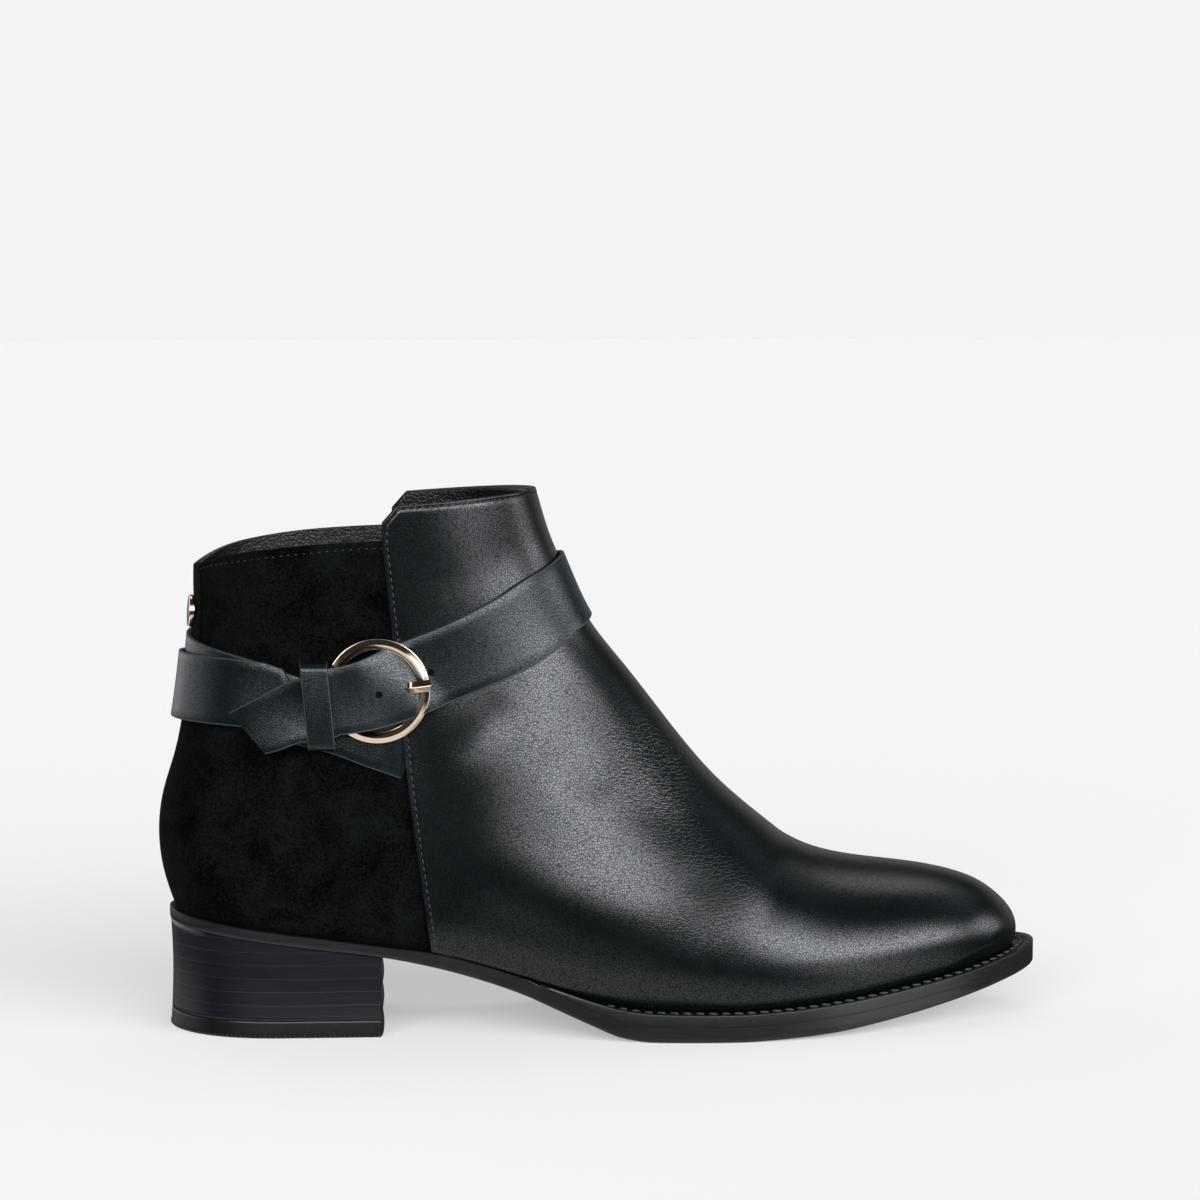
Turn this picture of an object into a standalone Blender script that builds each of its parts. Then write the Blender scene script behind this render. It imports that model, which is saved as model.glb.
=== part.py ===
"""Right ankle boot: leather vamp lapped over a suede quarter, wrapped strap, welted sole, stacked heel.

Sizes are in millimetres, and MM turns them into Blender's metres. X runs from heel to toe, Y towards the
inner (medial) side of the foot and Z up. The floor is z = 0. The upper's skin is one function of x and z,
half_width_sq, so every piece that lies on it (vamp, straps, stud) is worked out from that same function.
"""

import math

import bmesh
import bpy
import numpy as np
from mathutils import Matrix, Vector

MM = 0.001
GAP = 0.3
LATERAL = -1.0
MEDIAL = 1.0


def table(columns, rows):
    """A table's named columns, one row for each section."""
    return dict(zip(columns.split(), np.array(rows, float).T))


# Driving sizes of the upper.
WALL = 2.0
VAMP_LIFT = 1.2
TOE_X = 266.9
HEEL_X = 4.6
TUCK = 2.6
TUCK_HEIGHT = 14.0
LEG_START_Z = 38.0
LEG_FULL_Z = 112.0
CROSS_POWER = 2.4

# Front line of the upper, from the feather edge at the toe over the instep to the collar.
RIDGE = table(
    "x z",
    [
        (266.9, 20.9),
        (267.4, 25.0),
        (266.2, 29.3),
        (263.0, 33.4),
        (256.7, 38.3),
        (247.4, 42.1),
        (232.6, 45.2),
        (212.2, 48.3),
        (198.6, 52.7),
        (185.8, 61.5),
        (172.7, 72.9),
        (159.4, 88.1),
        (141.9, 110.7),
        (131.6, 124.2),
        (123.4, 141.6),
        (119.1, 152.2),
        (115.2, 165.2),
    ],
)

# Back line of the quarter, from the heel seat to the collar.
BACK = table(
    "x z",
    [
        (4.6, 37.0),
        (1.8, 45.4),
        (-0.2, 60.0),
        (1.2, 72.0),
        (4.8, 84.0),
        (7.8, 99.0),
        (10.0, 116.0),
        (11.2, 131.0),
        (11.6, 142.7),
    ],
)

# Half widths of the foot below the ankle, and its middle line, which swings to the big toe.
FOOT = table(
    "x lateral medial middle",
    [
        (-2.0, 30.0, 30.0, 0.0),
        (20.0, 30.6, 30.6, 0.0),
        (45.0, 31.4, 31.0, 0.0),
        (75.0, 31.8, 29.0, 0.0),
        (100.0, 32.8, 27.0, 0.0),
        (120.0, 36.0, 29.0, 0.0),
        (140.0, 40.2, 33.6, 0.0),
        (160.0, 43.2, 37.8, 0.2),
        (178.0, 44.0, 39.6, 0.8),
        (195.0, 42.8, 39.6, 1.8),
        (212.0, 39.9, 37.4, 3.3),
        (230.0, 34.9, 32.8, 5.3),
        (246.0, 29.0, 27.2, 7.1),
        (258.0, 23.6, 22.2, 8.5),
        (268.0, 18.8, 17.8, 9.5),
    ],
)

# Half width of the shaft, and how far from the back line its section rounds off.
SHAFT = table(
    "z half back_round",
    [
        (20.0, 31.0, 33.0),
        (40.0, 31.4, 34.0),
        (60.0, 32.0, 38.0),
        (85.0, 31.2, 43.0),
        (110.0, 30.6, 47.0),
        (135.0, 31.2, 44.0),
        (152.0, 32.0, 40.0),
        (166.0, 32.6, 40.0),
    ],
)

# How far from the front line the section rounds off.
FRONT_ROUND = table(
    "x reach",
    [
        (60.0, 54.0),
        (115.0, 53.0),
        (150.0, 46.0),
        (180.0, 41.0),
        (205.0, 36.0),
        (225.0, 31.0),
        (245.0, 25.0),
        (266.0, 20.0),
    ],
)

# The sole in side view: the upper's seat, the tread, and the sole's margin beyond the feather edge.
SOLE = table(
    "x seat tread margin",
    [
        (0.0, 37.2, 33.6, 1.7),
        (20.0, 34.4, 31.0, 1.6),
        (45.0, 31.0, 27.6, 1.4),
        (67.0, 27.9, 24.7, 1.2),
        (84.0, 25.5, 21.2, 1.2),
        (97.0, 22.2, 17.6, 1.2),
        (110.0, 18.3, 13.3, 1.5),
        (121.0, 15.2, 8.7, 2.4),
        (131.0, 12.6, 4.6, 3.8),
        (141.0, 10.6, 1.0, 4.8),
        (150.0, 9.7, 0.0, 5.2),
        (175.0, 9.4, 0.0, 5.2),
        (190.0, 10.0, 0.6, 5.2),
        (205.0, 11.2, 1.7, 5.2),
        (220.0, 13.0, 3.9, 5.3),
        (235.0, 15.2, 6.6, 5.6),
        (250.0, 17.8, 9.8, 6.2),
        (263.0, 20.4, 12.6, 7.0),
        (275.0, 22.6, 15.0, 7.4),
    ],
)

# Rear edge of the vamp, where it laps over the quarter, and the quarter's collar line.
SEAM_LOW = 83.0
SEAM = table(
    "x z",
    [
        (83.0, 26.0),
        (80.1, 45.4),
        (77.2, 66.9),
        (74.6, 90.0),
        (71.9, 118.6),
        (68.3, 151.8),
    ],
)
COLLAR = table(
    "x z",
    [
        (11.6, 142.7),
        (17.0, 145.5),
        (26.0, 148.0),
        (40.0, 150.1),
        (54.0, 151.2),
        (68.3, 151.8),
    ],
)
VAMP_CORNER = table("x z", [(73.1, 162.1), (68.6, 157.0)])
MEDIAL_SEAM_SHIFT = 4.2

# Welt, outsole and insole.
WELT_START = 116.0
WELT_FULL = 139.0
WELT_DEPTH = 4.4
LEDGE_DROP = 1.0
LEDGE_INNER = VAMP_LIFT + 0.5
INSOLE_INSET = 2.6
INSOLE_RISE = 2.2

# Heel.
BREAST_X = 67.4
TOP_LIFT = 5.2
HEEL_SHAPE = table("level inset", [(0.0, 0.1), (0.3, 0.6), (0.65, 0.8), (1.0, 0.3)])

# Straps: the turn round the ankle in degrees (0 front, 90 lateral, 180 back, 270 medial), the height of the
# middle, the lift off the quarter's skin, the lean of the cross cut in degrees, and the width.
STRAP_THICK = 1.4
WRAP_PATH = table(
    "turn z lift lean width",
    [
        (98.6, 91.9, 0.3, -2.2, 20.5),
        (112.0, 100.6, 0.3, 0.0, 20.5),
        (137.0, 106.4, 0.3, 0.0, 20.5),
        (180.0, 111.0, 0.3, 0.0, 20.5),
        (225.0, 114.2, 0.3, 0.0, 20.5),
        (243.0, 116.2, 0.5, 0.0, 20.5),
        (262.0, 118.6, 1.6, 0.0, 20.5),
        (300.0, 124.6, 1.6, 0.0, 20.5),
        (335.0, 132.6, 1.6, 0.0, 20.5),
        (360.0, 134.6, 1.6, 0.0, 20.0),
        (392.0, 130.6, 1.6, 0.0, 19.2),
        (409.0, 125.0, 1.6, 0.0, 19.0),
        (427.0, 118.4, 1.6, 0.0, 19.0),
        (443.0, 112.6, 1.6, 0.0, 19.5),
        (449.0, 110.4, 1.6, 0.0, 20.1),
        (455.0, 107.9, 1.8, 0.0, 20.5),
        (461.0, 105.8, 4.2, 0.0, 20.5),
        (466.0, 104.6, 6.9, 0.0, 20.5),
        (470.0, 104.0, 8.5, 0.0, 20.5),
        (477.0, 102.6, 8.5, 0.0, 19.6),
        (484.0, 100.4, 6.2, 3.0, 18.8),
        (494.0, 95.4, 5.0, 10.0, 17.6),
    ],
)
BUCKLE_PATH = table(
    "turn z lift lean width",
    [
        (114.5, 103.8, 2.3, 0.0, 20.5),
        (122.0, 104.4, 2.1, 0.0, 20.5),
        (150.0, 105.6, 2.1, 0.0, 20.5),
        (180.0, 105.4, 2.1, 0.0, 20.5),
        (215.0, 102.6, 2.1, 0.0, 20.5),
        (238.0, 98.8, 2.4, 0.0, 20.5),
        (252.0, 95.8, 2.3, 0.0, 20.5),
        (266.6, 92.8, 0.6, 1.6, 20.5),
    ],
)

# Buckle frame, prong, fold and keeper, placed in the frame's own plane.
RING_X = 66.9
RING_Z = 106.6
RING_LIFT = 5.0
RING_OUTER = 15.8
RING_INNER = 12.4
RING_THICK = 2.4
RING_FLAT = 0.5
FOLD_WIDTH = 9.0
FOLD_THICK = 0.8
FOLD_TAIL = 5.0
PRONG_INNER = 8.6
PRONG_WIDE = 3.5
PRONG_THICK = 1.9
KEEPER_Z = 102.5
KEEPER_LEFT = -22.1
KEEPER_RIGHT = -13.9
KEEPER_LEAN = -0.094
KEEPER_HALF = 12.3
KEEPER_THICK = 0.9
KEEPER_FOOT = 2.4
KEEPER_TOP = 10.6
KEEPER_ROUND = 1.6

# Stud at the back of the collar.
STUD_Z = 128.0
STUD_TURN = 176.5
STUD_RADIUS = 4.9
STUD_RISE = 1.3
STUD_DOME = 0.5


def natural_spline(knots, values):
    """The smooth curve through a few values, with no bend at its ends."""
    count = len(knots)
    step = np.diff(knots)
    slope = np.diff(values) / step
    system = np.eye(count)
    right = np.zeros(count)
    for i in range(1, count - 1):
        system[i, i - 1] = step[i - 1]
        system[i, i] = 2.0 * (step[i - 1] + step[i])
        system[i, i + 1] = step[i]
        right[i] = 6.0 * (slope[i] - slope[i - 1])
    bend = np.linalg.solve(system, right)

    def value(at):
        at = np.asarray(at, float)
        i = np.clip(np.searchsorted(knots, at) - 1, 0, count - 2)
        h = step[i]
        ahead = (knots[i + 1] - at) / h
        behind = (at - knots[i]) / h
        cubic = (ahead**3 - ahead) * bend[i] + (behind**3 - behind) * bend[i + 1]
        return ahead * values[i] + behind * values[i + 1] + cubic * h * h / 6.0

    return value


def held_spline(knots, values):
    """The smooth curve through a table that never overshoots it, so a flat stretch stays flat."""
    step = np.diff(knots)
    slope = np.diff(values) / step
    tangent = np.zeros(len(knots))
    tangent[0] = slope[0]
    tangent[-1] = slope[-1]
    for i in range(1, len(knots) - 1):
        if slope[i - 1] * slope[i] > 0.0:
            before = 2.0 * step[i] + step[i - 1]
            after = step[i] + 2.0 * step[i - 1]
            tangent[i] = (before + after) / (before / slope[i - 1] + after / slope[i])

    def value(at):
        at = np.clip(np.asarray(at, float), knots[0], knots[-1])
        i = np.clip(np.searchsorted(knots, at) - 1, 0, len(knots) - 2)
        h = step[i]
        t = (at - knots[i]) / h
        start = values[i] * (1.0 + 2.0 * t) * (1.0 - t) ** 2 + h * tangent[i] * t * (1.0 - t) ** 2
        end = values[i + 1] * t * t * (3.0 - 2.0 * t) + h * tangent[i + 1] * t * t * (t - 1.0)
        return start + end

    return value


def line_path(rows, count):
    """Points of the smooth line through a table of x and z, evenly along it."""
    points = np.column_stack([rows["x"], rows["z"]])
    run = np.concatenate([[0.0], np.cumsum(np.hypot(*np.diff(points, axis=0).T))])
    at = np.linspace(0.0, run[-1], count)
    x = natural_spline(run, points[:, 0])(at)
    z = natural_spline(run, points[:, 1])(at)
    return np.column_stack([x, z])


def along(path, share):
    """The point that lies this share of the way along a path."""
    run = np.linspace(0.0, 1.0, len(path))
    return np.column_stack([np.interp(share, run, path[:, 0]), np.interp(share, run, path[:, 1])])


ridge_path = line_path(RIDGE, 400)
back_path = line_path(BACK, 120)
foot_half = {
    LATERAL: natural_spline(FOOT["x"], FOOT["lateral"]),
    MEDIAL: natural_spline(FOOT["x"], FOOT["medial"]),
}
middle = natural_spline(FOOT["x"], FOOT["middle"])
shaft_half = natural_spline(SHAFT["z"], SHAFT["half"])
back_round = natural_spline(SHAFT["z"], SHAFT["back_round"])
front_round = held_spline(FRONT_ROUND["x"], FRONT_ROUND["reach"])
seat_z = held_spline(SOLE["x"], SOLE["seat"])
tread_z = held_spline(SOLE["x"], SOLE["tread"])
margin = held_spline(SOLE["x"], SOLE["margin"])
seam_x = natural_spline(SEAM["z"], SEAM["x"])
collar_z = natural_spline(COLLAR["x"], COLLAR["z"])


def back_x(z):
    return np.interp(z, back_path[:, 1], back_path[:, 0])


def front_x(z):
    return np.interp(z, ridge_path[:, 1], ridge_path[:, 0])


def ridge_depth(x, z):
    """How far a point of the side view lies behind the front line; below zero in front of it."""
    gap = np.hypot(x[..., None] - ridge_path[:, 0], z[..., None] - ridge_path[:, 1])
    near = np.clip(np.argmin(gap, axis=-1), 1, len(ridge_path) - 2)
    run = ridge_path[near + 1] - ridge_path[near - 1]
    run /= np.hypot(run[..., 0], run[..., 1])[..., None]
    return (x - ridge_path[near, 0]) * -run[..., 1] + (z - ridge_path[near, 1]) * run[..., 0]


def rounding(share):
    """Square of the section's fullness, from nothing on the middle plane to full at a share of one."""
    return 1.0 - np.sign(1.0 - share) * np.abs(np.maximum(1.0 - share, 0.0)) ** CROSS_POWER


def half_width_sq(x, z, side):
    """Square of the skin's distance from the middle plane; it goes below zero outside the side view."""
    x, z = np.broadcast_arrays(np.asarray(x, float), np.asarray(z, float))
    leg = np.clip((z - LEG_START_Z) / (LEG_FULL_Z - LEG_START_Z), 0.0, 1.0)
    leg = leg * leg * (3.0 - 2.0 * leg)
    full = (1.0 - leg) * foot_half[side](x) + leg * shaft_half(z)
    rise = np.clip(1.0 - (z - seat_z(x)) / TUCK_HEIGHT, 0.0, 1.0)
    full = full - TUCK * rise * rise
    front = rounding(ridge_depth(x, z) / front_round(x))
    rear = rounding((x - back_x(z)) / back_round(z))
    return full * full * front * rear


def skin(x, z, side, lift=0.0):
    """Points on the upper's skin, or lifted off it along its normal."""
    x, z = np.broadcast_arrays(np.asarray(x, float), np.asarray(z, float))
    half = side * np.sqrt(np.maximum(half_width_sq(x, z, side), 0.0))
    step = 0.05
    swing = (middle(x + step) - middle(x - step)) / (2.0 * step)
    slope_x = (half_width_sq(x + step, z, side) - half_width_sq(x - step, z, side)) / (2.0 * step)
    slope_z = (half_width_sq(x, z + step, side) - half_width_sq(x, z - step, side)) / (2.0 * step)
    normal = np.stack([-slope_x - 2.0 * half * swing, 2.0 * half, -slope_z], axis=-1)
    normal /= np.linalg.norm(normal, axis=-1)[..., None]
    return np.stack([x, middle(x) + half, z], axis=-1) + normal * np.asarray(lift, float)[..., None]


def outline(xs, side, offset):
    """The feather edge in plan, moved out by an offset along its plan normal."""
    step = 0.05
    half = side * np.sqrt(np.maximum(half_width_sq(xs, seat_z(xs), side), 0.0))
    half[(xs <= HEEL_X) | (xs >= TOE_X)] = 0.0
    swing = (middle(xs + step) - middle(xs - step)) / (2.0 * step)
    ahead = half_width_sq(xs + step, seat_z(xs + step), side)
    behind = half_width_sq(xs - step, seat_z(xs - step), side)
    slope = (ahead - behind) / (2.0 * step)
    normal = np.stack([-slope - 2.0 * half * swing, 2.0 * half], axis=-1)
    normal /= np.linalg.norm(normal, axis=-1)[..., None]
    reach = np.broadcast_to(offset, xs.shape)[..., None]
    return np.stack([xs, middle(xs) + half], axis=-1) + normal * reach


def eased(start, end, count, ease_start=True, ease_end=True):
    """Values from start to end, set closer where the skin turns round the middle plane."""
    share = np.linspace(0.0, 1.0, count)
    if ease_start and ease_end:
        share = 0.5 - 0.5 * np.cos(math.pi * share)
    elif ease_start:
        share = 1.0 - np.cos(0.5 * math.pi * share)
    elif ease_end:
        share = np.sin(0.5 * math.pi * share)
    return start + (end - start) * share


def coons(bottom, top, left, right, columns_at, rows_at):
    """Side-view points between four edges, blended by the spacing of the rows and columns."""
    v = rows_at[:, None, None]
    u = columns_at[None, :, None]
    across = (1.0 - v) * bottom[None] + v * top[None]
    upward = (1.0 - u) * left[:, None] + u * right[:, None]
    low = (1.0 - u) * bottom[0] + u * bottom[-1]
    high = (1.0 - u) * top[0] + u * top[-1]
    return across + upward - ((1.0 - v) * low + v * high)


for old in list(bpy.data.objects):
    bpy.data.objects.remove(old, do_unlink=True)

boot = bpy.data.collections.new("ankle_boot")
bpy.context.scene.collection.children.link(boot)
root = bpy.data.objects.new("boot_frame", None)
boot.objects.link(root)


def finish_material(name, colour, roughness, metallic=0.0):
    material = bpy.data.materials.new(name)
    material.use_nodes = True
    shader = material.node_tree.nodes["Principled BSDF"]
    shader.inputs["Base Color"].default_value = (*colour, 1.0)
    shader.inputs["Roughness"].default_value = roughness
    shader.inputs["Metallic"].default_value = metallic
    material.diffuse_color = (*colour, 1.0)
    return material


def add_part(name, points, faces, material, smooth=True):
    """One named piece from points in millimetres; points that coincide are joined, faces turned outward."""
    mesh = bpy.data.meshes.new(name)
    work = bmesh.new()
    corners = [work.verts.new(Vector(point) * MM) for point in points]
    for face in faces:
        work.faces.new([corners[i] for i in face])
    bmesh.ops.remove_doubles(work, verts=work.verts, dist=0.00001)
    bmesh.ops.recalc_face_normals(work, faces=work.faces)
    for face in work.faces:
        face.smooth = smooth
    work.to_mesh(mesh)
    work.free()
    mesh.materials.append(material)
    piece = bpy.data.objects.new(name, mesh)
    boot.objects.link(piece)
    piece.parent = root
    return piece


def grid_faces(rows, columns, first=0):
    """The four-sided faces of a grid of points."""
    faces = []
    for row in range(rows - 1):
        for column in range(columns - 1):
            corner = first + row * columns + column
            faces.append((corner, corner + 1, corner + columns + 1, corner + columns))
    return faces


def loft(sections):
    """Points and faces of a closed skin through sections of equal count, capped at both ends."""
    count, size = sections.shape[:2]
    faces = []
    for k in range(count - 1):
        for i in range(size):
            j = (i + 1) % size
            faces.append((k * size + i, k * size + j, (k + 1) * size + j, (k + 1) * size + i))
    for k in (0, count - 1):
        ring = sections[k]
        if np.ptp(ring[:, :2], axis=0).max() > 0.01:
            half = size // 2
            for i in range(half - 1):
                first = k * size
                faces.append((first + i, first + i + 1, first + size - 2 - i, first + size - 1 - i))
    return sections.reshape(-1, 3), faces


vamp_leather = finish_material("vamp_leather", (0.012, 0.014, 0.018), 0.34)
insole_leather = finish_material("insole_leather", (0.015, 0.014, 0.013), 0.6)
welt_leather = finish_material("welt_leather", (0.02, 0.021, 0.021), 0.45)
sole_leather = finish_material("sole_leather", (0.022, 0.023, 0.023), 0.42)
heel_stack = finish_material("heel_stack", (0.014, 0.016, 0.02), 0.42)
lift_rubber = finish_material("lift_rubber", (0.01, 0.01, 0.01), 0.7)
strap_leather = finish_material("strap_leather", (0.022, 0.025, 0.028), 0.45)
gold_metal = finish_material("gold_metal", (0.83, 0.69, 0.45), 0.18, 1.0)

# Upper: quarter and vamp are worked out in side view, set on the skin and given their wall by Solidify.
SEAM_ROWS = 13
QUARTER_COLUMNS = 9
VAMP_ROWS = 10
FEATHER_COLUMNS = 15
TOE_TOP_SHARE = 0.085
INSTEP_SHARE = 0.545


def side_grids(shift):
    """Quarter and vamp in side view, with the seam moved forward by a shift."""
    low_x = SEAM_LOW + shift
    heights = np.linspace(float(seat_z(low_x)) + GAP, COLLAR["z"][-1], SEAM_ROWS)
    seam_line = np.column_stack([seam_x(heights) + shift, heights])
    seam_line[0, 0] = low_x
    up_share = np.linspace(0.0, 1.0, SEAM_ROWS)

    out_share = eased(0.0, 1.0, QUARTER_COLUMNS, ease_end=False)
    foot_x = HEEL_X + (low_x - HEEL_X) * out_share
    foot = np.column_stack([foot_x, seat_z(foot_x) + GAP])
    collar_x = COLLAR["x"][0] + (COLLAR["x"][-1] - COLLAR["x"][0]) * out_share
    collar = np.column_stack([collar_x + shift * out_share, collar_z(collar_x)])
    quarter = coons(foot, collar, along(back_path, up_share), seam_line, out_share, up_share)

    # The vamp's columns run from the front line to its rear edge, then to the feather edge.
    corner = np.column_stack([VAMP_CORNER["x"] + shift, VAMP_CORNER["z"]])
    feather_x = eased(low_x, TOE_X, FEATHER_COLUMNS, ease_start=False)[1:]
    feather = np.column_stack([feather_x, seat_z(feather_x) + GAP])
    low_edge = np.vstack([corner, seam_line[::-1], feather])
    leg_share = np.linspace(1.0, INSTEP_SHARE, len(corner) + SEAM_ROWS)
    toe_share = eased(INSTEP_SHARE, TOE_TOP_SHARE, FEATHER_COLUMNS, ease_start=False)[1:]
    high_edge = along(ridge_path, np.concatenate([leg_share, toe_share]))
    down_share = eased(0.0, 1.0, VAMP_ROWS, ease_end=False)
    toe_wall = along(ridge_path, TOE_TOP_SHARE * (1.0 - down_share))
    top_edge = high_edge[0] + (corner[0] - high_edge[0]) * down_share[:, None]
    column_share = np.linspace(0.0, 1.0, len(low_edge))
    vamp = coons(high_edge, low_edge, top_edge, toe_wall, column_share, down_share)
    return quarter, vamp


points = []
faces = []
first_lap = len(VAMP_CORNER["x"])
for side, shift in ((LATERAL, 0.0), (MEDIAL, MEDIAL_SEAM_SHIFT)):
    quarter_grid, vamp_grid = side_grids(shift)
    quarter = skin(quarter_grid[..., 0], quarter_grid[..., 1], side)
    quarter[:, 0, 1] = 0.0
    vamp = skin(vamp_grid[..., 0], vamp_grid[..., 1], side, VAMP_LIFT)
    vamp[0, :, 1] = middle(vamp_grid[0, :, 0])
    vamp[:, -1, 1] = middle(vamp_grid[:, -1, 0])
    vamp[..., 2] = np.maximum(vamp[..., 2], seat_z(vamp[..., 0]) + GAP)
    lap = vamp[-1, first_lap : first_lap + SEAM_ROWS][::-1]
    step_face = np.stack([quarter[:, -1], lap], axis=1)
    for grid in (quarter, vamp, step_face):
        faces += grid_faces(grid.shape[0], grid.shape[1], len(points))
        points += list(grid.reshape(-1, 3))

upper = add_part("upper", points, faces, vamp_leather)
if upper.data.polygons[0].normal.x > 0.0:
    upper.data.flip_normals()
wall = upper.modifiers.new("wall", "SOLIDIFY")
wall.thickness = WALL * MM
wall.offset = -1.0

# Outsole: a plate from heel seat to toe, its forepart lowered to take the welt.
SOLE_STATIONS = 46


def welt_depth(x):
    """How far the welt lets the outsole's top down."""
    return WELT_DEPTH * np.clip((x - WELT_START + 4.0) / (WELT_FULL - WELT_START + 4.0), 0.0, 1.0)


def plate(xs, offset, top, bottom):
    """Sections of a plate between two heights, from side to side at each station."""
    left = outline(xs, LATERAL, offset)
    right = outline(xs, MEDIAL, offset)
    rings = []
    for a, b in zip(left, right):
        ring = [(*a, top(a[0])), (*b, top(b[0])), (*b, bottom(b[0])), (*a, bottom(a[0]))]
        rings.append(ring)
    return np.array(rings, float)


sole_x = eased(HEEL_X, TOE_X, SOLE_STATIONS)
outsole_sections = plate(
    sole_x,
    margin(sole_x),
    lambda x: seat_z(x) - np.where(x > WELT_START - 4.0, welt_depth(x) + GAP, 0.0),
    tread_z,
)
outsole = add_part("outsole", *loft(outsole_sections), sole_leather, smooth=False)

# Welt: a strip round the forepart from waist to waist, its top sloping to the outer edge.
WELT_STATIONS = 26
welt_x = eased(WELT_START, TOE_X, WELT_STATIONS, ease_start=False)
welt_rings = []
for side, xs in ((LATERAL, welt_x), (MEDIAL, welt_x[-2::-1])):
    inner = outline(xs, side, -INSOLE_INSET + GAP)
    ledge = outline(xs, side, np.minimum(LEDGE_INNER, margin(xs) - 0.4))
    outer = outline(xs, side, margin(xs))
    for a, b, c in zip(inner, ledge, outer):
        depth = welt_depth(c[0])
        drop = LEDGE_DROP * depth / WELT_DEPTH
        ring = [
            (*a, seat_z(a[0])),
            (*b, seat_z(b[0]) - 0.1 * drop),
            (*c, seat_z(c[0]) - drop),
            (*c, seat_z(c[0]) - depth),
            (*b, seat_z(b[0]) - welt_depth(b[0])),
            (*a, seat_z(a[0]) - welt_depth(a[0])),
        ]
        welt_rings.append(ring)
welt = add_part("welt", *loft(np.array(welt_rings, float)), welt_leather, smooth=False)

# Insole: the board inside the upper, with the filling between the welt's arms.
insole_x = eased(HEEL_X, TOE_X, SOLE_STATIONS)
insole_sections = plate(
    insole_x,
    -INSOLE_INSET,
    lambda x: seat_z(x) + INSOLE_RISE,
    lambda x: seat_z(x) + GAP - np.where(x > WELT_START - 4.0, welt_depth(x) + GAP, 0.0),
)
insole = add_part("insole", *loft(insole_sections), insole_leather, smooth=False)

# Heel: the stacked block under the seat, waisted a little, and the rubber lift under it.
HEEL_STATIONS = 15
heel_inset = natural_spline(HEEL_SHAPE["level"], HEEL_SHAPE["inset"])


def heel_sections(levels, low, high):
    """Sections of the heel from its back to the breast, each down one side and up the other."""
    xs = eased(HEEL_X, BREAST_X, HEEL_STATIONS, ease_end=False)
    rings = []
    sides = []
    for side in (LATERAL, MEDIAL):
        walls = []
        for level in levels:
            flat = outline(xs, side, margin(xs) - heel_inset(level))
            flat[-1, 0] = BREAST_X
            foot = low(flat[:, 0])
            height = foot + level_share(level, levels) * (high(flat[:, 0]) - foot)
            walls.append(np.column_stack([flat, height]))
        sides.append(np.array(walls))
    for k in range(HEEL_STATIONS):
        rings.append(list(sides[0][:, k]) + list(sides[1][::-1, k]))
    return np.array(rings, float)


def level_share(level, levels):
    return (level - levels[0]) / (levels[-1] - levels[0])


heel_split = TOP_LIFT / float(tread_z(40.0))
block_levels = np.linspace(heel_split, 1.0, 5)
block_sections = heel_sections(
    block_levels,
    lambda x: np.full_like(x, TOP_LIFT + GAP),
    lambda x: tread_z(x) - GAP,
)
heel_block = add_part("heel_block", *loft(block_sections), heel_stack)
lift_sections = heel_sections(
    np.array([0.0, heel_split]),
    lambda x: np.zeros_like(x),
    lambda x: np.full_like(x, TOP_LIFT),
)
top_lift = add_part("top_lift", *loft(lift_sections), lift_rubber, smooth=False)


# Straps: bands that go round the ankle on the upper's own skin.
def ankle_point(turn, z, lift):
    """A point round the ankle, lifted off the skin."""
    turn = np.mod(turn, 360.0)
    angle = np.radians(np.minimum(turn, 360.0 - turn))
    rear = back_x(z)
    x = rear + (front_x(z) - rear) * (0.5 + 0.5 * np.cos(angle))
    side = LATERAL if turn < 180.0 else MEDIAL
    point = skin(np.array(x), np.array(z), side, np.array(lift))
    if turn in (0.0, 180.0):
        point[1] = 0.0
    return point


def band_section(turn, z, lift, lean, rise, thick):
    """One cut square through a strap: its inner face from bottom to top, its outer face back down."""
    places = [(turn + lean * share, z + rise * share) for share in (-1.0, 0.0, 1.0)]
    inner = [ankle_point(at, height, lift) for at, height in places]
    outer = [ankle_point(at, height, lift + thick) for at, height in reversed(places)]
    return inner + outer


def band(path, stations):
    """Sections of a strap along a path round the ankle."""
    turns = np.linspace(path["turn"][0], path["turn"][-1], stations)
    height = held_spline(path["turn"], path["z"])
    lift = held_spline(path["turn"], path["lift"])
    lean = held_spline(path["turn"], path["lean"])
    width_at = held_spline(path["turn"], path["width"])
    rings = []
    for turn in turns:
        ends = [ankle_point(at, float(height(at)), 0.0) for at in (turn - 1.0, turn + 1.0)]
        run = math.hypot(ends[1][0] - ends[0][0], ends[1][1] - ends[0][1])
        slope = math.atan2(ends[1][2] - ends[0][2], run)
        width = float(width_at(turn))
        square_lean = -0.5 * width * math.sin(slope) / (0.5 * run)
        cut = float(lean(turn)) + square_lean
        rise = 0.5 * width * math.cos(slope)
        ring = band_section(turn, float(height(turn)), float(lift(turn)), cut, rise, STRAP_THICK)
        rings.append(ring)
    return rings


wrap_rings = band(WRAP_PATH, 84)
wrap_strap = add_part("wrap_strap", *loft(np.array(wrap_rings)), strap_leather)

# The buckle's plane: origin on the skin, one axis along the strap to the front, one up, one outward.
buckle_origin = skin(np.array(RING_X), np.array(RING_Z), LATERAL, np.array(0.0))
buckle_out = skin(np.array(RING_X), np.array(RING_Z), LATERAL, np.array(1.0)) - buckle_origin
buckle_up = np.array([0.0, 0.0, 1.0]) - buckle_out * buckle_out[2]
buckle_up /= np.linalg.norm(buckle_up)
buckle_ahead = np.cross(buckle_up, buckle_out)
if buckle_ahead[0] < 0.0:
    buckle_ahead = -buckle_ahead


def on_buckle(ahead, up, out):
    """A point in the buckle's plane."""
    return buckle_origin + buckle_ahead * ahead + buckle_up * up + buckle_out * out


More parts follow.
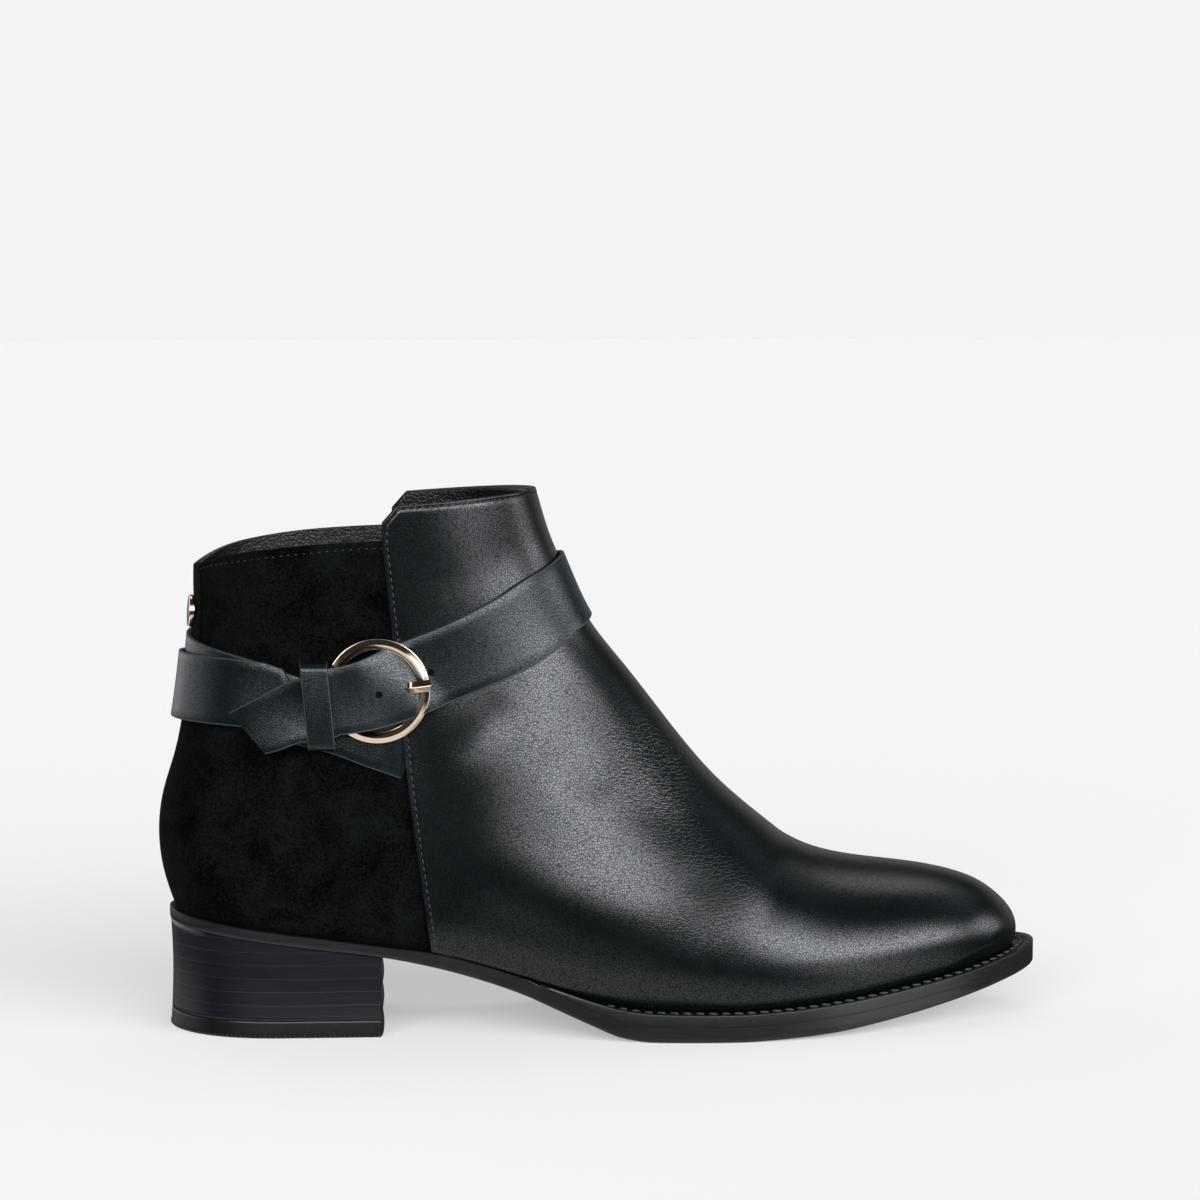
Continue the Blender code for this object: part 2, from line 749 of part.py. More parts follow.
# The buckle strap ends in a narrow tongue that is folded round the frame's bar.
buckle_rings = band(BUCKLE_PATH, 40)[::-1]
fold_reach = 0.5 * RING_THICK + GAP + 0.5 * FOLD_THICK
fold_turn_at = -RING_INNER + GAP
fold_path = [(-RING_OUTER - 1.4, -fold_reach, 90.0), (fold_turn_at, -fold_reach, 90.0)]
for degrees in (60.0, 30.0, 0.0, -30.0, -60.0):
    radians = math.radians(degrees)
    ahead = fold_turn_at + fold_reach * math.cos(radians)
    fold_path.append((ahead, -fold_reach * math.sin(radians), degrees))
fold_path += [(fold_turn_at, fold_reach, -90.0), (fold_turn_at - FOLD_TAIL, fold_reach, -90.0)]
for ahead, out, degrees in fold_path:
    radians = math.radians(degrees)
    thick = np.array([math.cos(radians), -math.sin(radians)]) * 0.5 * FOLD_THICK
    places = (-0.5 * FOLD_WIDTH, 0.0, 0.5 * FOLD_WIDTH)
    lift = RING_LIFT + out
    outer = [on_buckle(ahead + thick[0], up, lift + thick[1]) for up in places]
    inner = [on_buckle(ahead - thick[0], up, lift - thick[1]) for up in reversed(places)]
    buckle_rings.append(outer + inner)
buckle_strap = add_part("buckle_strap", *loft(np.array(buckle_rings)), strap_leather)

# Keeper: an arch of thin leather over the strap's end, next to the frame.
keeper_path = [(KEEPER_HALF, KEEPER_FOOT, 0.0), (KEEPER_HALF, KEEPER_TOP - KEEPER_ROUND, 0.0)]
for degrees in (30.0, 60.0, 90.0):
    radians = math.radians(degrees)
    keeper_path.append(
        (
            KEEPER_HALF - KEEPER_ROUND + KEEPER_ROUND * math.cos(radians),
            KEEPER_TOP - KEEPER_ROUND + KEEPER_ROUND * math.sin(radians),
            degrees,
        )
    )
keeper_path += [(-up, out, 180.0 - degrees) for up, out, degrees in reversed(keeper_path)]
keeper_rise = KEEPER_Z - RING_Z
keeper_rings = []
for up, out, degrees in keeper_path:
    radians = math.radians(degrees)
    thick = np.array([math.cos(radians), math.sin(radians)]) * KEEPER_THICK
    left = KEEPER_LEFT + KEEPER_LEAN * up
    right = KEEPER_RIGHT + KEEPER_LEAN * up
    ring = [
        on_buckle(left, keeper_rise + up, out),
        on_buckle(right, keeper_rise + up, out),
        on_buckle(right, keeper_rise + up + thick[0], out + thick[1]),
        on_buckle(left, keeper_rise + up + thick[0], out + thick[1]),
    ]
    keeper_rings.append(ring)
keeper = add_part("keeper", *loft(np.array(keeper_rings)), strap_leather, smooth=False)


# Metal: turned shapes, set in the buckle's plane or on the back line.
def turned(name, profile, steps, place):
    """A profile of radius and height turned round its own axis."""
    mesh = bpy.data.meshes.new(name)
    corners = [(radius * MM, 0.0, height * MM) for radius, height in profile]
    edges = [(i, i + 1) for i in range(len(profile) - 1)]
    if profile[0][0] > 0.0:
        edges.append((len(profile) - 1, 0))
    mesh.from_pydata(corners, edges, [])
    mesh.materials.append(gold_metal)
    piece = bpy.data.objects.new(name, mesh)
    boot.objects.link(piece)
    piece.parent = root
    piece.matrix_local = place
    screw = piece.modifiers.new("turn", "SCREW")
    screw.steps = steps
    screw.render_steps = steps
    screw.use_merge_vertices = True
    screw.merge_threshold = 0.00001
    screw.use_normal_calculate = True
    return piece


def placement(origin, ahead, up, out):
    turn = Matrix((ahead, up, out)).transposed().to_4x4()
    return Matrix.Translation(Vector(origin) * MM) @ turn


ring_middle = 0.5 * (RING_OUTER + RING_INNER)
half_thick = 0.5 * RING_THICK
ring_profile = [
    (RING_INNER, half_thick - 1.3),
    (ring_middle - RING_FLAT, half_thick),
    (ring_middle + RING_FLAT, half_thick),
    (RING_OUTER, half_thick - 1.3),
    (RING_OUTER, -half_thick),
    (RING_INNER, -half_thick),
]
buckle_axes = (Vector(buckle_ahead), Vector(buckle_up), Vector(np.cross(buckle_ahead, buckle_up)))
ring_place = placement(on_buckle(0.0, 0.0, RING_LIFT), *buckle_axes)
buckle_ring = turned("buckle_ring", ring_profile, 48, ring_place)

# Prong: a bevelled bar that lies on the frame's front side and dips into the strap.
prong_top = RING_LIFT + half_thick + GAP
prong_stations = table(
    "ahead out half",
    [
        (RING_OUTER + 0.2, 0.0, 0.8),
        (RING_OUTER - 1.2, 0.0, 1.0),
        (RING_INNER - 0.6, 0.0, 1.0),
        (PRONG_INNER + 0.8, -0.9, 0.9),
        (PRONG_INNER, -1.1, 0.5),
    ],
)
prong_rings = []
for ahead, out, half in zip(prong_stations["ahead"], prong_stations["out"], prong_stations["half"]):
    wide = 0.5 * PRONG_WIDE * half
    low = prong_top + out
    ring = [
        on_buckle(ahead, -wide, low),
        on_buckle(ahead, -wide, low + 0.55 * PRONG_THICK),
        on_buckle(ahead, -0.35 * wide, low + PRONG_THICK),
        on_buckle(ahead, 0.35 * wide, low + PRONG_THICK),
        on_buckle(ahead, wide, low + 0.55 * PRONG_THICK),
        on_buckle(ahead, wide, low),
    ]
    prong_rings.append(ring)
buckle_prong = add_part("buckle_prong", *loft(np.array(prong_rings)), gold_metal, smooth=False)

# Stud: a low dome on the back line of the quarter.
stud_base = ankle_point(STUD_TURN, STUD_Z, 0.0)
stud_out = ankle_point(STUD_TURN, STUD_Z, 1.0) - stud_base
stud_run = np.array([0.0, 0.0, 1.0]) - stud_out * stud_out[2]
stud_run /= np.linalg.norm(stud_run)
stud_profile = [(0.0, GAP), (STUD_RADIUS * 0.5, GAP)]
stud_profile += [(STUD_RADIUS * 0.5, 0.7), (STUD_RADIUS, 0.7), (STUD_RADIUS, STUD_RISE)]
for degrees in (30.0, 60.0):
    radians = math.radians(degrees)
    rim = STUD_RADIUS * math.cos(radians)
    stud_profile.append((rim, STUD_RISE + STUD_DOME * math.sin(radians)))
stud_profile.append((0.0, STUD_RISE + STUD_DOME))
stud_axes = (Vector(stud_run), Vector(np.cross(stud_out, stud_run)), Vector(stud_out))
back_stud = turned("back_stud", stud_profile, 28, placement(stud_base, *stud_axes))

# The frame's origin is the middle of the box's bottom.
bpy.context.view_layer.update()
graph = bpy.context.evaluated_depsgraph_get()
low = np.full(3, np.inf)
high = np.full(3, -np.inf)
for piece in boot.objects:
    if piece.type != "MESH":
        continue
    solid = piece.evaluated_get(graph)
    for vertex in solid.data.vertices:
        place = np.array(solid.matrix_world @ vertex.co)
        low = np.minimum(low, place)
        high = np.maximum(high, place)
root.location = (-0.5 * (low[0] + high[0]), -0.5 * (low[1] + high[1]), -low[2])
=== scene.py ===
import math

import bmesh
import bpy
import numpy as np
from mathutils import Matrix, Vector


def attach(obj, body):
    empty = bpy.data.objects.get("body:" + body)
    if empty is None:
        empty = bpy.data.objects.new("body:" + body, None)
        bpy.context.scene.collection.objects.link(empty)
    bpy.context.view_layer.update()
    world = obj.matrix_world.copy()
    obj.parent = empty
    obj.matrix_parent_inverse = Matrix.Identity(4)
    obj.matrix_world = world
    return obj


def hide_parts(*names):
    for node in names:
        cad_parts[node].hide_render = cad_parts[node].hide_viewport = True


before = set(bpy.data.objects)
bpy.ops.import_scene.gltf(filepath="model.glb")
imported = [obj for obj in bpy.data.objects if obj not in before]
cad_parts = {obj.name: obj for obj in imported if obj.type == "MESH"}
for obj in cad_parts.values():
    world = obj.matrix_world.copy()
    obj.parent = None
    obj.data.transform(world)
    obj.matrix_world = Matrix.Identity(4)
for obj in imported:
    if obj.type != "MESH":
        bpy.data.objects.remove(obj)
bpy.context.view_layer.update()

# Suede quarter: the back half of the upper, cut in two halves from black calf suede and closed at the back.
# It is pulled over a last, so the last's shape comes first: millimetres from heel to toe, with tables of
# its front line, back line, widths and sole, and one function for the skin that every piece lies on.
MM = 0.001
LAST_TO_FRAME = np.array([-136.9743, 1.0042, 0.0])
LATERAL = -1.0
MEDIAL = 1.0
GAP = 0.3
MERGE = 0.004


def table(columns, rows):
    """A table's named columns, one row for each section."""
    return dict(zip(columns.split(), np.array(rows, float).T))


FRONT_LINE = table(
    "x z",
    [
        (266.9, 20.9),
        (267.4, 25.0),
        (266.2, 29.3),
        (263.0, 33.4),
        (256.7, 38.3),
        (247.4, 42.1),
        (232.6, 45.2),
        (212.2, 48.3),
        (198.6, 52.7),
        (185.8, 61.5),
        (172.7, 72.9),
        (159.4, 88.1),
        (141.9, 110.7),
        (131.6, 124.2),
        (123.4, 141.6),
        (119.1, 152.2),
        (115.2, 165.2),
    ],
)
BACK_LINE = table(
    "x z",
    [
        (4.6, 37.0),
        (1.8, 45.4),
        (-0.2, 60.0),
        (1.2, 72.0),
        (4.8, 84.0),
        (7.8, 99.0),
        (10.0, 116.0),
        (11.2, 131.0),
        (11.6, 142.7),
    ],
)
FOOT = table(
    "x lateral medial middle",
    [
        (-2.0, 30.0, 30.0, 0.0),
        (20.0, 30.6, 30.6, 0.0),
        (45.0, 31.4, 31.0, 0.0),
        (75.0, 31.8, 29.0, 0.0),
        (100.0, 32.8, 27.0, 0.0),
        (120.0, 36.0, 29.0, 0.0),
        (140.0, 40.2, 33.6, 0.0),
        (160.0, 43.2, 37.8, 0.2),
        (178.0, 44.0, 39.6, 0.8),
        (195.0, 42.8, 39.6, 1.8),
        (212.0, 39.9, 37.4, 3.3),
        (230.0, 34.9, 32.8, 5.3),
        (246.0, 29.0, 27.2, 7.1),
        (258.0, 23.6, 22.2, 8.5),
        (268.0, 18.8, 17.8, 9.5),
    ],
)
SHAFT = table(
    "z half back_round",
    [
        (20.0, 31.0, 33.0),
        (40.0, 31.4, 34.0),
        (60.0, 32.0, 38.0),
        (85.0, 31.2, 43.0),
        (110.0, 30.6, 47.0),
        (135.0, 31.2, 44.0),
        (152.0, 32.0, 40.0),
        (166.0, 32.6, 40.0),
    ],
)
FRONT_ROUND = table(
    "x reach",
    [
        (60.0, 54.0),
        (115.0, 53.0),
        (150.0, 46.0),
        (180.0, 41.0),
        (205.0, 36.0),
        (225.0, 31.0),
        (245.0, 25.0),
        (266.0, 20.0),
    ],
)
SOLE = table(
    "x seat tread margin",
    [
        (0.0, 37.2, 33.6, 1.7),
        (20.0, 34.4, 31.0, 1.6),
        (45.0, 31.0, 27.6, 1.4),
        (67.0, 27.9, 24.7, 1.2),
        (84.0, 25.5, 21.2, 1.2),
        (97.0, 22.2, 17.6, 1.2),
        (110.0, 18.3, 13.3, 1.5),
        (121.0, 15.2, 8.7, 2.4),
        (131.0, 12.6, 4.6, 3.8),
        (141.0, 10.6, 1.0, 4.8),
        (150.0, 9.7, 0.0, 5.2),
        (175.0, 9.4, 0.0, 5.2),
        (190.0, 10.0, 0.6, 5.2),
        (205.0, 11.2, 1.7, 5.2),
        (220.0, 13.0, 3.9, 5.3),
        (235.0, 15.2, 6.6, 5.6),
        (250.0, 17.8, 9.8, 6.2),
        (263.0, 20.4, 12.6, 7.0),
        (275.0, 22.6, 15.0, 7.4),
    ],
)
HEEL_X = 4.6
TUCK = 2.6
TUCK_HEIGHT = 14.0
LEG_START_Z = 38.0
LEG_FULL_Z = 112.0
CROSS_POWER = 2.4
SLOPE_STEP = 0.05


def natural_spline(knots, values):
    """The smooth curve through a few values, with no bend at its ends."""
    count = len(knots)
    step = np.diff(knots)
    slope = np.diff(values) / step
    system = np.eye(count)
    right = np.zeros(count)
    for i in range(1, count - 1):
        system[i, i - 1] = step[i - 1]
        system[i, i] = 2.0 * (step[i - 1] + step[i])
        system[i, i + 1] = step[i]
        right[i] = 6.0 * (slope[i] - slope[i - 1])
    bend = np.linalg.solve(system, right)

    def value(at):
        at = np.asarray(at, float)
        i = np.clip(np.searchsorted(knots, at) - 1, 0, count - 2)
        h = step[i]
        ahead = (knots[i + 1] - at) / h
        behind = (at - knots[i]) / h
        cubic = (ahead**3 - ahead) * bend[i] + (behind**3 - behind) * bend[i + 1]
        return ahead * values[i] + behind * values[i + 1] + cubic * h * h / 6.0

    return value


def held_spline(knots, values):
    """The smooth curve through a table that never overshoots it, so a flat stretch stays flat."""
    step = np.diff(knots)
    slope = np.diff(values) / step
    tangent = np.zeros(len(knots))
    tangent[0] = slope[0]
    tangent[-1] = slope[-1]
    for i in range(1, len(knots) - 1):
        if slope[i - 1] * slope[i] > 0.0:
            before = 2.0 * step[i] + step[i - 1]
            after = step[i] + 2.0 * step[i - 1]
            tangent[i] = (before + after) / (before / slope[i - 1] + after / slope[i])

    def value(at):
        at = np.clip(np.asarray(at, float), knots[0], knots[-1])
        i = np.clip(np.searchsorted(knots, at) - 1, 0, len(knots) - 2)
        h = step[i]
        t = (at - knots[i]) / h
        start = values[i] * (1.0 + 2.0 * t) * (1.0 - t) ** 2 + h * tangent[i] * t * (1.0 - t) ** 2
        end = values[i + 1] * t * t * (3.0 - 2.0 * t) + h * tangent[i + 1] * t * t * (t - 1.0)
        return start + end

    return value


def line_path(rows, count):
    """Points of the smooth line through a table of x and z, evenly along it."""
    points = np.column_stack([rows["x"], rows["z"]])
    run = np.concatenate([[0.0], np.cumsum(np.hypot(*np.diff(points, axis=0).T))])
    at = np.linspace(0.0, run[-1], count)
    x = natural_spline(run, points[:, 0])(at)
    z = natural_spline(run, points[:, 1])(at)
    return np.column_stack([x, z])


def along(path, share):
    """The points that lie these shares of the way along a path."""
    run = np.linspace(0.0, 1.0, len(path))
    share = np.asarray(share, float)
    return np.stack([np.interp(share, run, path[:, 0]), np.interp(share, run, path[:, 1])], axis=-1)


front_path = line_path(FRONT_LINE, 800)
back_path = line_path(BACK_LINE, 240)
foot_half = {
    LATERAL: natural_spline(FOOT["x"], FOOT["lateral"]),
    MEDIAL: natural_spline(FOOT["x"], FOOT["medial"]),
}
middle = natural_spline(FOOT["x"], FOOT["middle"])
shaft_half = natural_spline(SHAFT["z"], SHAFT["half"])
back_round = natural_spline(SHAFT["z"], SHAFT["back_round"])
front_round = held_spline(FRONT_ROUND["x"], FRONT_ROUND["reach"])
seat_z = held_spline(SOLE["x"], SOLE["seat"])


def back_x(z):
    return np.interp(z, back_path[:, 1], back_path[:, 0])


def front_depth(x, z):
    """How far a point of the side view lies behind the front line; below zero in front of it."""
    flat_x = x.ravel()
    flat_z = z.ravel()
    depth = np.empty(flat_x.size)
    batch = 8192
    for first in range(0, flat_x.size, batch):
        part = slice(first, first + batch)
        gap = (flat_x[part, None] - front_path[:, 0]) ** 2 + (flat_z[part, None] - front_path[:, 1]) ** 2
        near = np.clip(np.argmin(gap, axis=-1), 1, len(front_path) - 2)
        run = front_path[near + 1] - front_path[near - 1]
        run /= np.hypot(run[:, 0], run[:, 1])[:, None]
        off = np.column_stack([flat_x[part], flat_z[part]]) - front_path[near]
        depth[part] = off[:, 1] * run[:, 0] - off[:, 0] * run[:, 1]
    return depth.reshape(x.shape)


def rounding(share):
    """Square of the section's fullness, from nothing on the middle plane to full at a share of one."""
    return 1.0 - np.abs(np.maximum(1.0 - share, 0.0)) ** CROSS_POWER


def half_width_sq(x, z, side):
    """Square of the skin's distance from the middle plane; it goes below zero outside the side view."""
    x, z = np.broadcast_arrays(np.asarray(x, float), np.asarray(z, float))
    leg = np.clip((z - LEG_START_Z) / (LEG_FULL_Z - LEG_START_Z), 0.0, 1.0)
    leg = leg * leg * (3.0 - 2.0 * leg)
    full = (1.0 - leg) * foot_half[side](x) + leg * shaft_half(z)
    rise = np.clip(1.0 - (z - seat_z(x)) / TUCK_HEIGHT, 0.0, 1.0)
    full = full - TUCK * rise * rise
    front = rounding(front_depth(x, z) / front_round(x))
    rear = rounding((x - back_x(z)) / back_round(z))
    return full * full * front * rear


def skin(x, z, side, lift=0.0):
    """Points on the last's skin, or lifted off it along its normal."""
    x, z = np.broadcast_arrays(np.asarray(x, float), np.asarray(z, float))
    half = side * np.sqrt(np.maximum(half_width_sq(x, z, side), 0.0))
    step = SLOPE_STEP
    swing = (middle(x + step) - middle(x - step)) / (2.0 * step)
    slope_x = (half_width_sq(x + step, z, side) - half_width_sq(x - step, z, side)) / (2.0 * step)
    slope_z = (half_width_sq(x, z + step, side) - half_width_sq(x, z - step, side)) / (2.0 * step)
    normal = np.stack([-slope_x - 2.0 * half * swing, 2.0 * half, -slope_z], axis=-1)
    normal /= np.linalg.norm(normal, axis=-1)[..., None]
    lift = np.broadcast_to(np.asarray(lift, float), x.shape)
    return np.stack([x, middle(x) + half, z], axis=-1) + normal * lift[..., None]


def eased(start, end, count, ease_start=True, ease_end=True):
    """Values from start to end, set closer where the skin turns round the middle plane."""
    share = np.linspace(0.0, 1.0, count)
    if ease_start and ease_end:
        share = 0.5 - 0.5 * np.cos(math.pi * share)
    elif ease_start:
        share = 1.0 - np.cos(0.5 * math.pi * share)
    elif ease_end:
        share = np.sin(0.5 * math.pi * share)
    return start + (end - start) * share


def between(u, v, bottom, top, left, right, corners):
    """Side-view points between four edges: u runs from left to right and v from bottom to top."""
    u = u[..., None]
    v = v[..., None]
    flat = (1.0 - v) * ((1.0 - u) * corners[0] + u * corners[1])
    flat = flat + v * ((1.0 - u) * corners[2] + u * corners[3])
    return (1.0 - v) * bottom + v * top + (1.0 - u) * left + u * right - flat


def grid_faces(rows, columns, first=0):
    """The four-sided faces of a grid of points."""
    faces = []
    for row in range(rows - 1):
        for column in range(columns - 1):
            corner = first + row * columns + column
            faces.append((corner, corner + 1, corner + columns + 1, corner + columns))
    return faces


def add_grid(points, faces, grid):
    """Adds a grid's points and faces to those of a sheet."""
    faces += grid_faces(*grid.shape[:2], len(points))
    points += list(grid.reshape(-1, 3))


def add_piece(name, points, faces, material, sharp=None, outward=None, second=None):
    """A named mesh from points in the last's millimetres: doubles merged, faces turned out, shaded smooth."""
    mesh = bpy.data.meshes.new(name)
    placed = (np.asarray(points, float) + LAST_TO_FRAME) * MM
    mesh.from_pydata(placed.tolist(), [], faces)
    mesh.materials.append(material)
    if second is not None:
        mesh.materials.append(second[0])
        for face in second[1]:
            mesh.polygons[face].material_index = 1
    work = bmesh.new()
    work.from_mesh(mesh)
    bmesh.ops.remove_doubles(work, verts=work.verts, dist=MERGE * MM)
    bmesh.ops.recalc_face_normals(work, faces=work.faces)
    work.faces.ensure_lookup_table()
    if outward is not None and outward(work.faces[0]):
        bmesh.ops.reverse_faces(work, faces=work.faces)
    work.to_mesh(mesh)
    work.free()
    mesh.shade_smooth()
    if sharp is not None:
        mesh.set_sharp_from_angle(angle=math.radians(sharp))
    piece = bpy.data.objects.new(name, mesh)
    bpy.context.scene.collection.objects.link(piece)
    return piece


def settle(piece):
    """Turns a piece with its modifiers into a plain mesh."""
    graph = bpy.context.evaluated_depsgraph_get()
    made = bpy.data.meshes.new_from_object(piece.evaluated_get(graph))
    piece.modifiers.clear()
    piece.data = made


def wall(piece, thickness, edge_material):
    """Gives an open sheet its thickness inwards, with the cut edge in its own finish."""
    piece.data.materials.append(edge_material)
    solid = piece.modifiers.new("thickness", "SOLIDIFY")
    solid.thickness = thickness * MM
    solid.offset = -1.0
    solid.material_offset_rim = 1
    settle(piece)


def finish(name, colour, roughness, metallic=0.0, specular=0.5):
    """A Principled finish and its node tree."""
    material = bpy.data.materials.new(name)
    material.use_nodes = True
    shader = material.node_tree.nodes["Principled BSDF"]
    shader.inputs["Base Color"].default_value = (*colour, 1.0)
    shader.inputs["Roughness"].default_value = roughness
    shader.inputs["Metallic"].default_value = metallic
    shader.inputs["Specular IOR Level"].default_value = specular
    return material, material.node_tree, shader


def texture(tree, kind, scale, stretch=(1.0, 1.0, 1.0), **sockets):
    """A procedural texture on Object coordinates; scale counts its cells in a metre."""
    place = tree.nodes.new("ShaderNodeTexCoord")
    mapping = tree.nodes.new("ShaderNodeMapping")
    mapping.inputs["Scale"].default_value = stretch
    tree.links.new(place.outputs["Object"], mapping.inputs["Vector"])
    node = tree.nodes.new(kind)
    node.inputs["Scale"].default_value = scale
    for socket, value in sockets.items():
        node.inputs[socket.replace("_", " ")].default_value = value
    tree.links.new(mapping.outputs["Vector"], node.inputs["Vector"])
    return node


def ramp(tree, source, stops):
    """A colour ramp over a value; each stop is its place and colour."""
    node = tree.nodes.new("ShaderNodeValToRGB")
    band = node.color_ramp
    while len(band.elements) < len(stops):
        band.elements.new(0.5)
    for element, (place, colour) in zip(band.elements, stops):
        element.position = place
        element.color = (*colour, 1.0)
    tree.links.new(source, node.inputs["Fac"])
    return node.outputs["Color"]


def mottle(tree, shader, source, stops):
    """Colours a finish unevenly, by a ramp over a value."""
    tree.links.new(ramp(tree, source, stops), shader.inputs["Base Color"])


def math_node(tree, operation, a, b):
    """One arithmetic step between values or sockets."""
    node = tree.nodes.new("ShaderNodeMath")
    node.operation = operation
    for socket, value in zip(node.inputs, (a, b)):
        if isinstance(value, (int, float)):
            socket.default_value = value
        else:
            tree.links.new(value, socket)
    return node.outputs["Value"]


def bumps(tree, shader, layers):
    """Chains bumps: each layer is a height, its strength and its depth in millimetres."""
    last = None
    for height, strength, depth in layers:
        bump = tree.nodes.new("ShaderNodeBump")
        bump.inputs["Strength"].default_value = strength
        bump.inputs["Distance"].default_value = depth * MM
        tree.links.new(height, bump.inputs["Height"])
        if last is not None:
            tree.links.new(last, bump.inputs["Normal"])
        last = bump.outputs["Normal"]
    tree.links.new(last, shader.inputs["Normal"])
    tree.links.new(last, shader.inputs["Coat Normal"])


def suede_finish(name, dark, light, nap):
    """Brushed suede: no gloss, a faint sheen, cloudy patches where the nap lies another way, fine fibres."""
    material, tree, shader = finish(name, dark, 0.95, specular=0.02)
    shader.inputs["Sheen Weight"].default_value = 0.01
    shader.inputs["Sheen Roughness"].default_value = 0.45
    shader.inputs["Sheen Tint"].default_value = (0.55, 0.6, 0.52, 1.0)
    cloud = texture(tree, "ShaderNodeTexNoise", 70.0, Detail=4.0, Roughness=0.6, Distortion=0.6)
    fibre = texture(tree, "ShaderNodeTexNoise", 1500.0, Detail=3.0, Roughness=0.75)
    coarse = math_node(tree, "MULTIPLY", cloud.outputs["Fac"], 0.42)
    fine = math_node(tree, "MULTIPLY", fibre.outputs["Fac"], 0.58)
    mottle(tree, shader, math_node(tree, "ADD", coarse, fine), [(0.42, dark), (0.6, light)])
    bumps(tree, shader, [(cloud.outputs["Fac"], 0.2, 0.25), (fibre.outputs["Fac"], nap, 0.12)])
    return material


suede = suede_finish("black_suede", (0.0003, 0.0005, 0.0004), (0.0038, 0.005, 0.0041), 0.5)
cut_edge, edge_tree, edge_shader = finish("cut_edge", (0.008, 0.012, 0.012), 0.6)
edge_fibre = texture(edge_tree, "ShaderNodeTexNoise", 1800.0, Detail=3.0)
EDGE_COLOURS = [(0.3, (0.006, 0.009, 0.009)), (0.7, (0.022, 0.031, 0.031))]
mottle(edge_tree, edge_shader, edge_fibre.outputs["Fac"], EDGE_COLOURS)
bumps(edge_tree, edge_shader, [(edge_fibre.outputs["Fac"], 0.5, 0.1)])

SEAM_LOW = 83.0
SEAM = table(
    "x z",
    [
        (83.0, 26.0),
        (80.1, 45.4),
        (77.2, 66.9),
        (74.6, 90.0),
        (71.9, 118.6),
        (68.3, 151.8),
    ],
)
COLLAR = table(
    "x z",
    [
        (11.6, 142.7),
        (17.0, 145.5),
        (26.0, 148.0),
        (40.0, 150.1),
        (54.0, 151.2),
        (68.3, 151.8),
    ],
)
MEDIAL_SEAM_SHIFT = 4.2
SIDES = ((LATERAL, 0.0), (MEDIAL, MEDIAL_SEAM_SHIFT))
seam_x = natural_spline(SEAM["z"], SEAM["x"])
collar_z = natural_spline(COLLAR["x"], COLLAR["z"])
SEAM_FOOT_PART = 0.125
UNDERLAP = 7.0
QUARTER_WALL = 1.2
QUARTER_TALL = 112.0
COLLAR_ROUND = 0.55
STUD_DENT = 0.5
STUD_DENT_REACH = 6.5
STUD_Z = 128.0


def quarter_grid(shift, lap, rows_at, columns_at):
    """Side-view points of one half of the quarter, with its front edge this far under the vamp."""
    low_x = SEAM_LOW + shift
    low_z = float(seat_z(low_x)) + GAP
    top_z = COLLAR["z"][-1]
    u, v = np.meshgrid(columns_at, rows_at)
    foot_x = HEEL_X + (low_x + lap - HEEL_X) * u
    bottom = np.stack([foot_x, seat_z(foot_x) + GAP], axis=-1)
    reach = COLLAR["x"][0] + (COLLAR["x"][-1] - COLLAR["x"][0]) * u
    top = np.stack([reach + (shift + lap) * u, collar_z(reach)], axis=-1)
    left = along(back_path, v)
    height = low_z + (top_z - low_z) * v
    edge_x = seam_x(height) + shift + lap
    edge_x = edge_x + (low_x - seam_x(low_z) - shift) * np.maximum(1.0 - v / SEAM_FOOT_PART, 0.0)
    right = np.stack([edge_x, height], axis=-1)
    corners = (bottom[0, 0], bottom[0, -1], top[-1, 0], top[-1, -1])
    right[0, :] = corners[1]
    return between(u, v, bottom, top, left, right, corners)


def rolled(distance, radius):
    """How far a rounded edge falls off at this distance from its end."""
    inside = np.clip(radius - distance, 0.0, radius)
    return radius - np.sqrt(np.maximum(radius * radius - inside * inside, 0.0))


def stud_dent(ahead, up):
    """How far the stud pulls the leather in, at this place beside it."""
    return -STUD_DENT * np.exp(-((np.hypot(ahead, up) / STUD_DENT_REACH) ** 2))


COLLAR_BAND = 5.0
COLLAR_ROWS = np.array([4.0, 2.2, 1.4, 0.9, 0.6, 0.35, 0.18, 0.06, 0.0])
quarter_rows = np.linspace(0.0, 1.0 - COLLAR_BAND / QUARTER_TALL, 46)
quarter_rows = np.concatenate([quarter_rows, 1.0 - COLLAR_ROWS / QUARTER_TALL])
quarter_columns = eased(0.0, 1.0, 46, ease_end=False)
points = []
faces = []
for side, shift in SIDES:
    grid = quarter_grid(shift, UNDERLAP, quarter_rows, quarter_columns)
    from_top = (1.0 - quarter_rows)[:, None] * QUARTER_TALL
    lift = stud_dent(grid[..., 0] - back_x(STUD_Z), grid[..., 1] - STUD_Z) - rolled(from_top, COLLAR_ROUND)
    half = skin(grid[..., 0], grid[..., 1], side, lift)
    half[:, 0, 1] = 0.0
    add_grid(points, faces, half)
quarter = add_piece("quarter", points, faces, suede, outward=lambda face: face.normal.x > 0.0)
wall(quarter, QUARTER_WALL, cut_edge)
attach(quarter, "root")
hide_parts("upper")

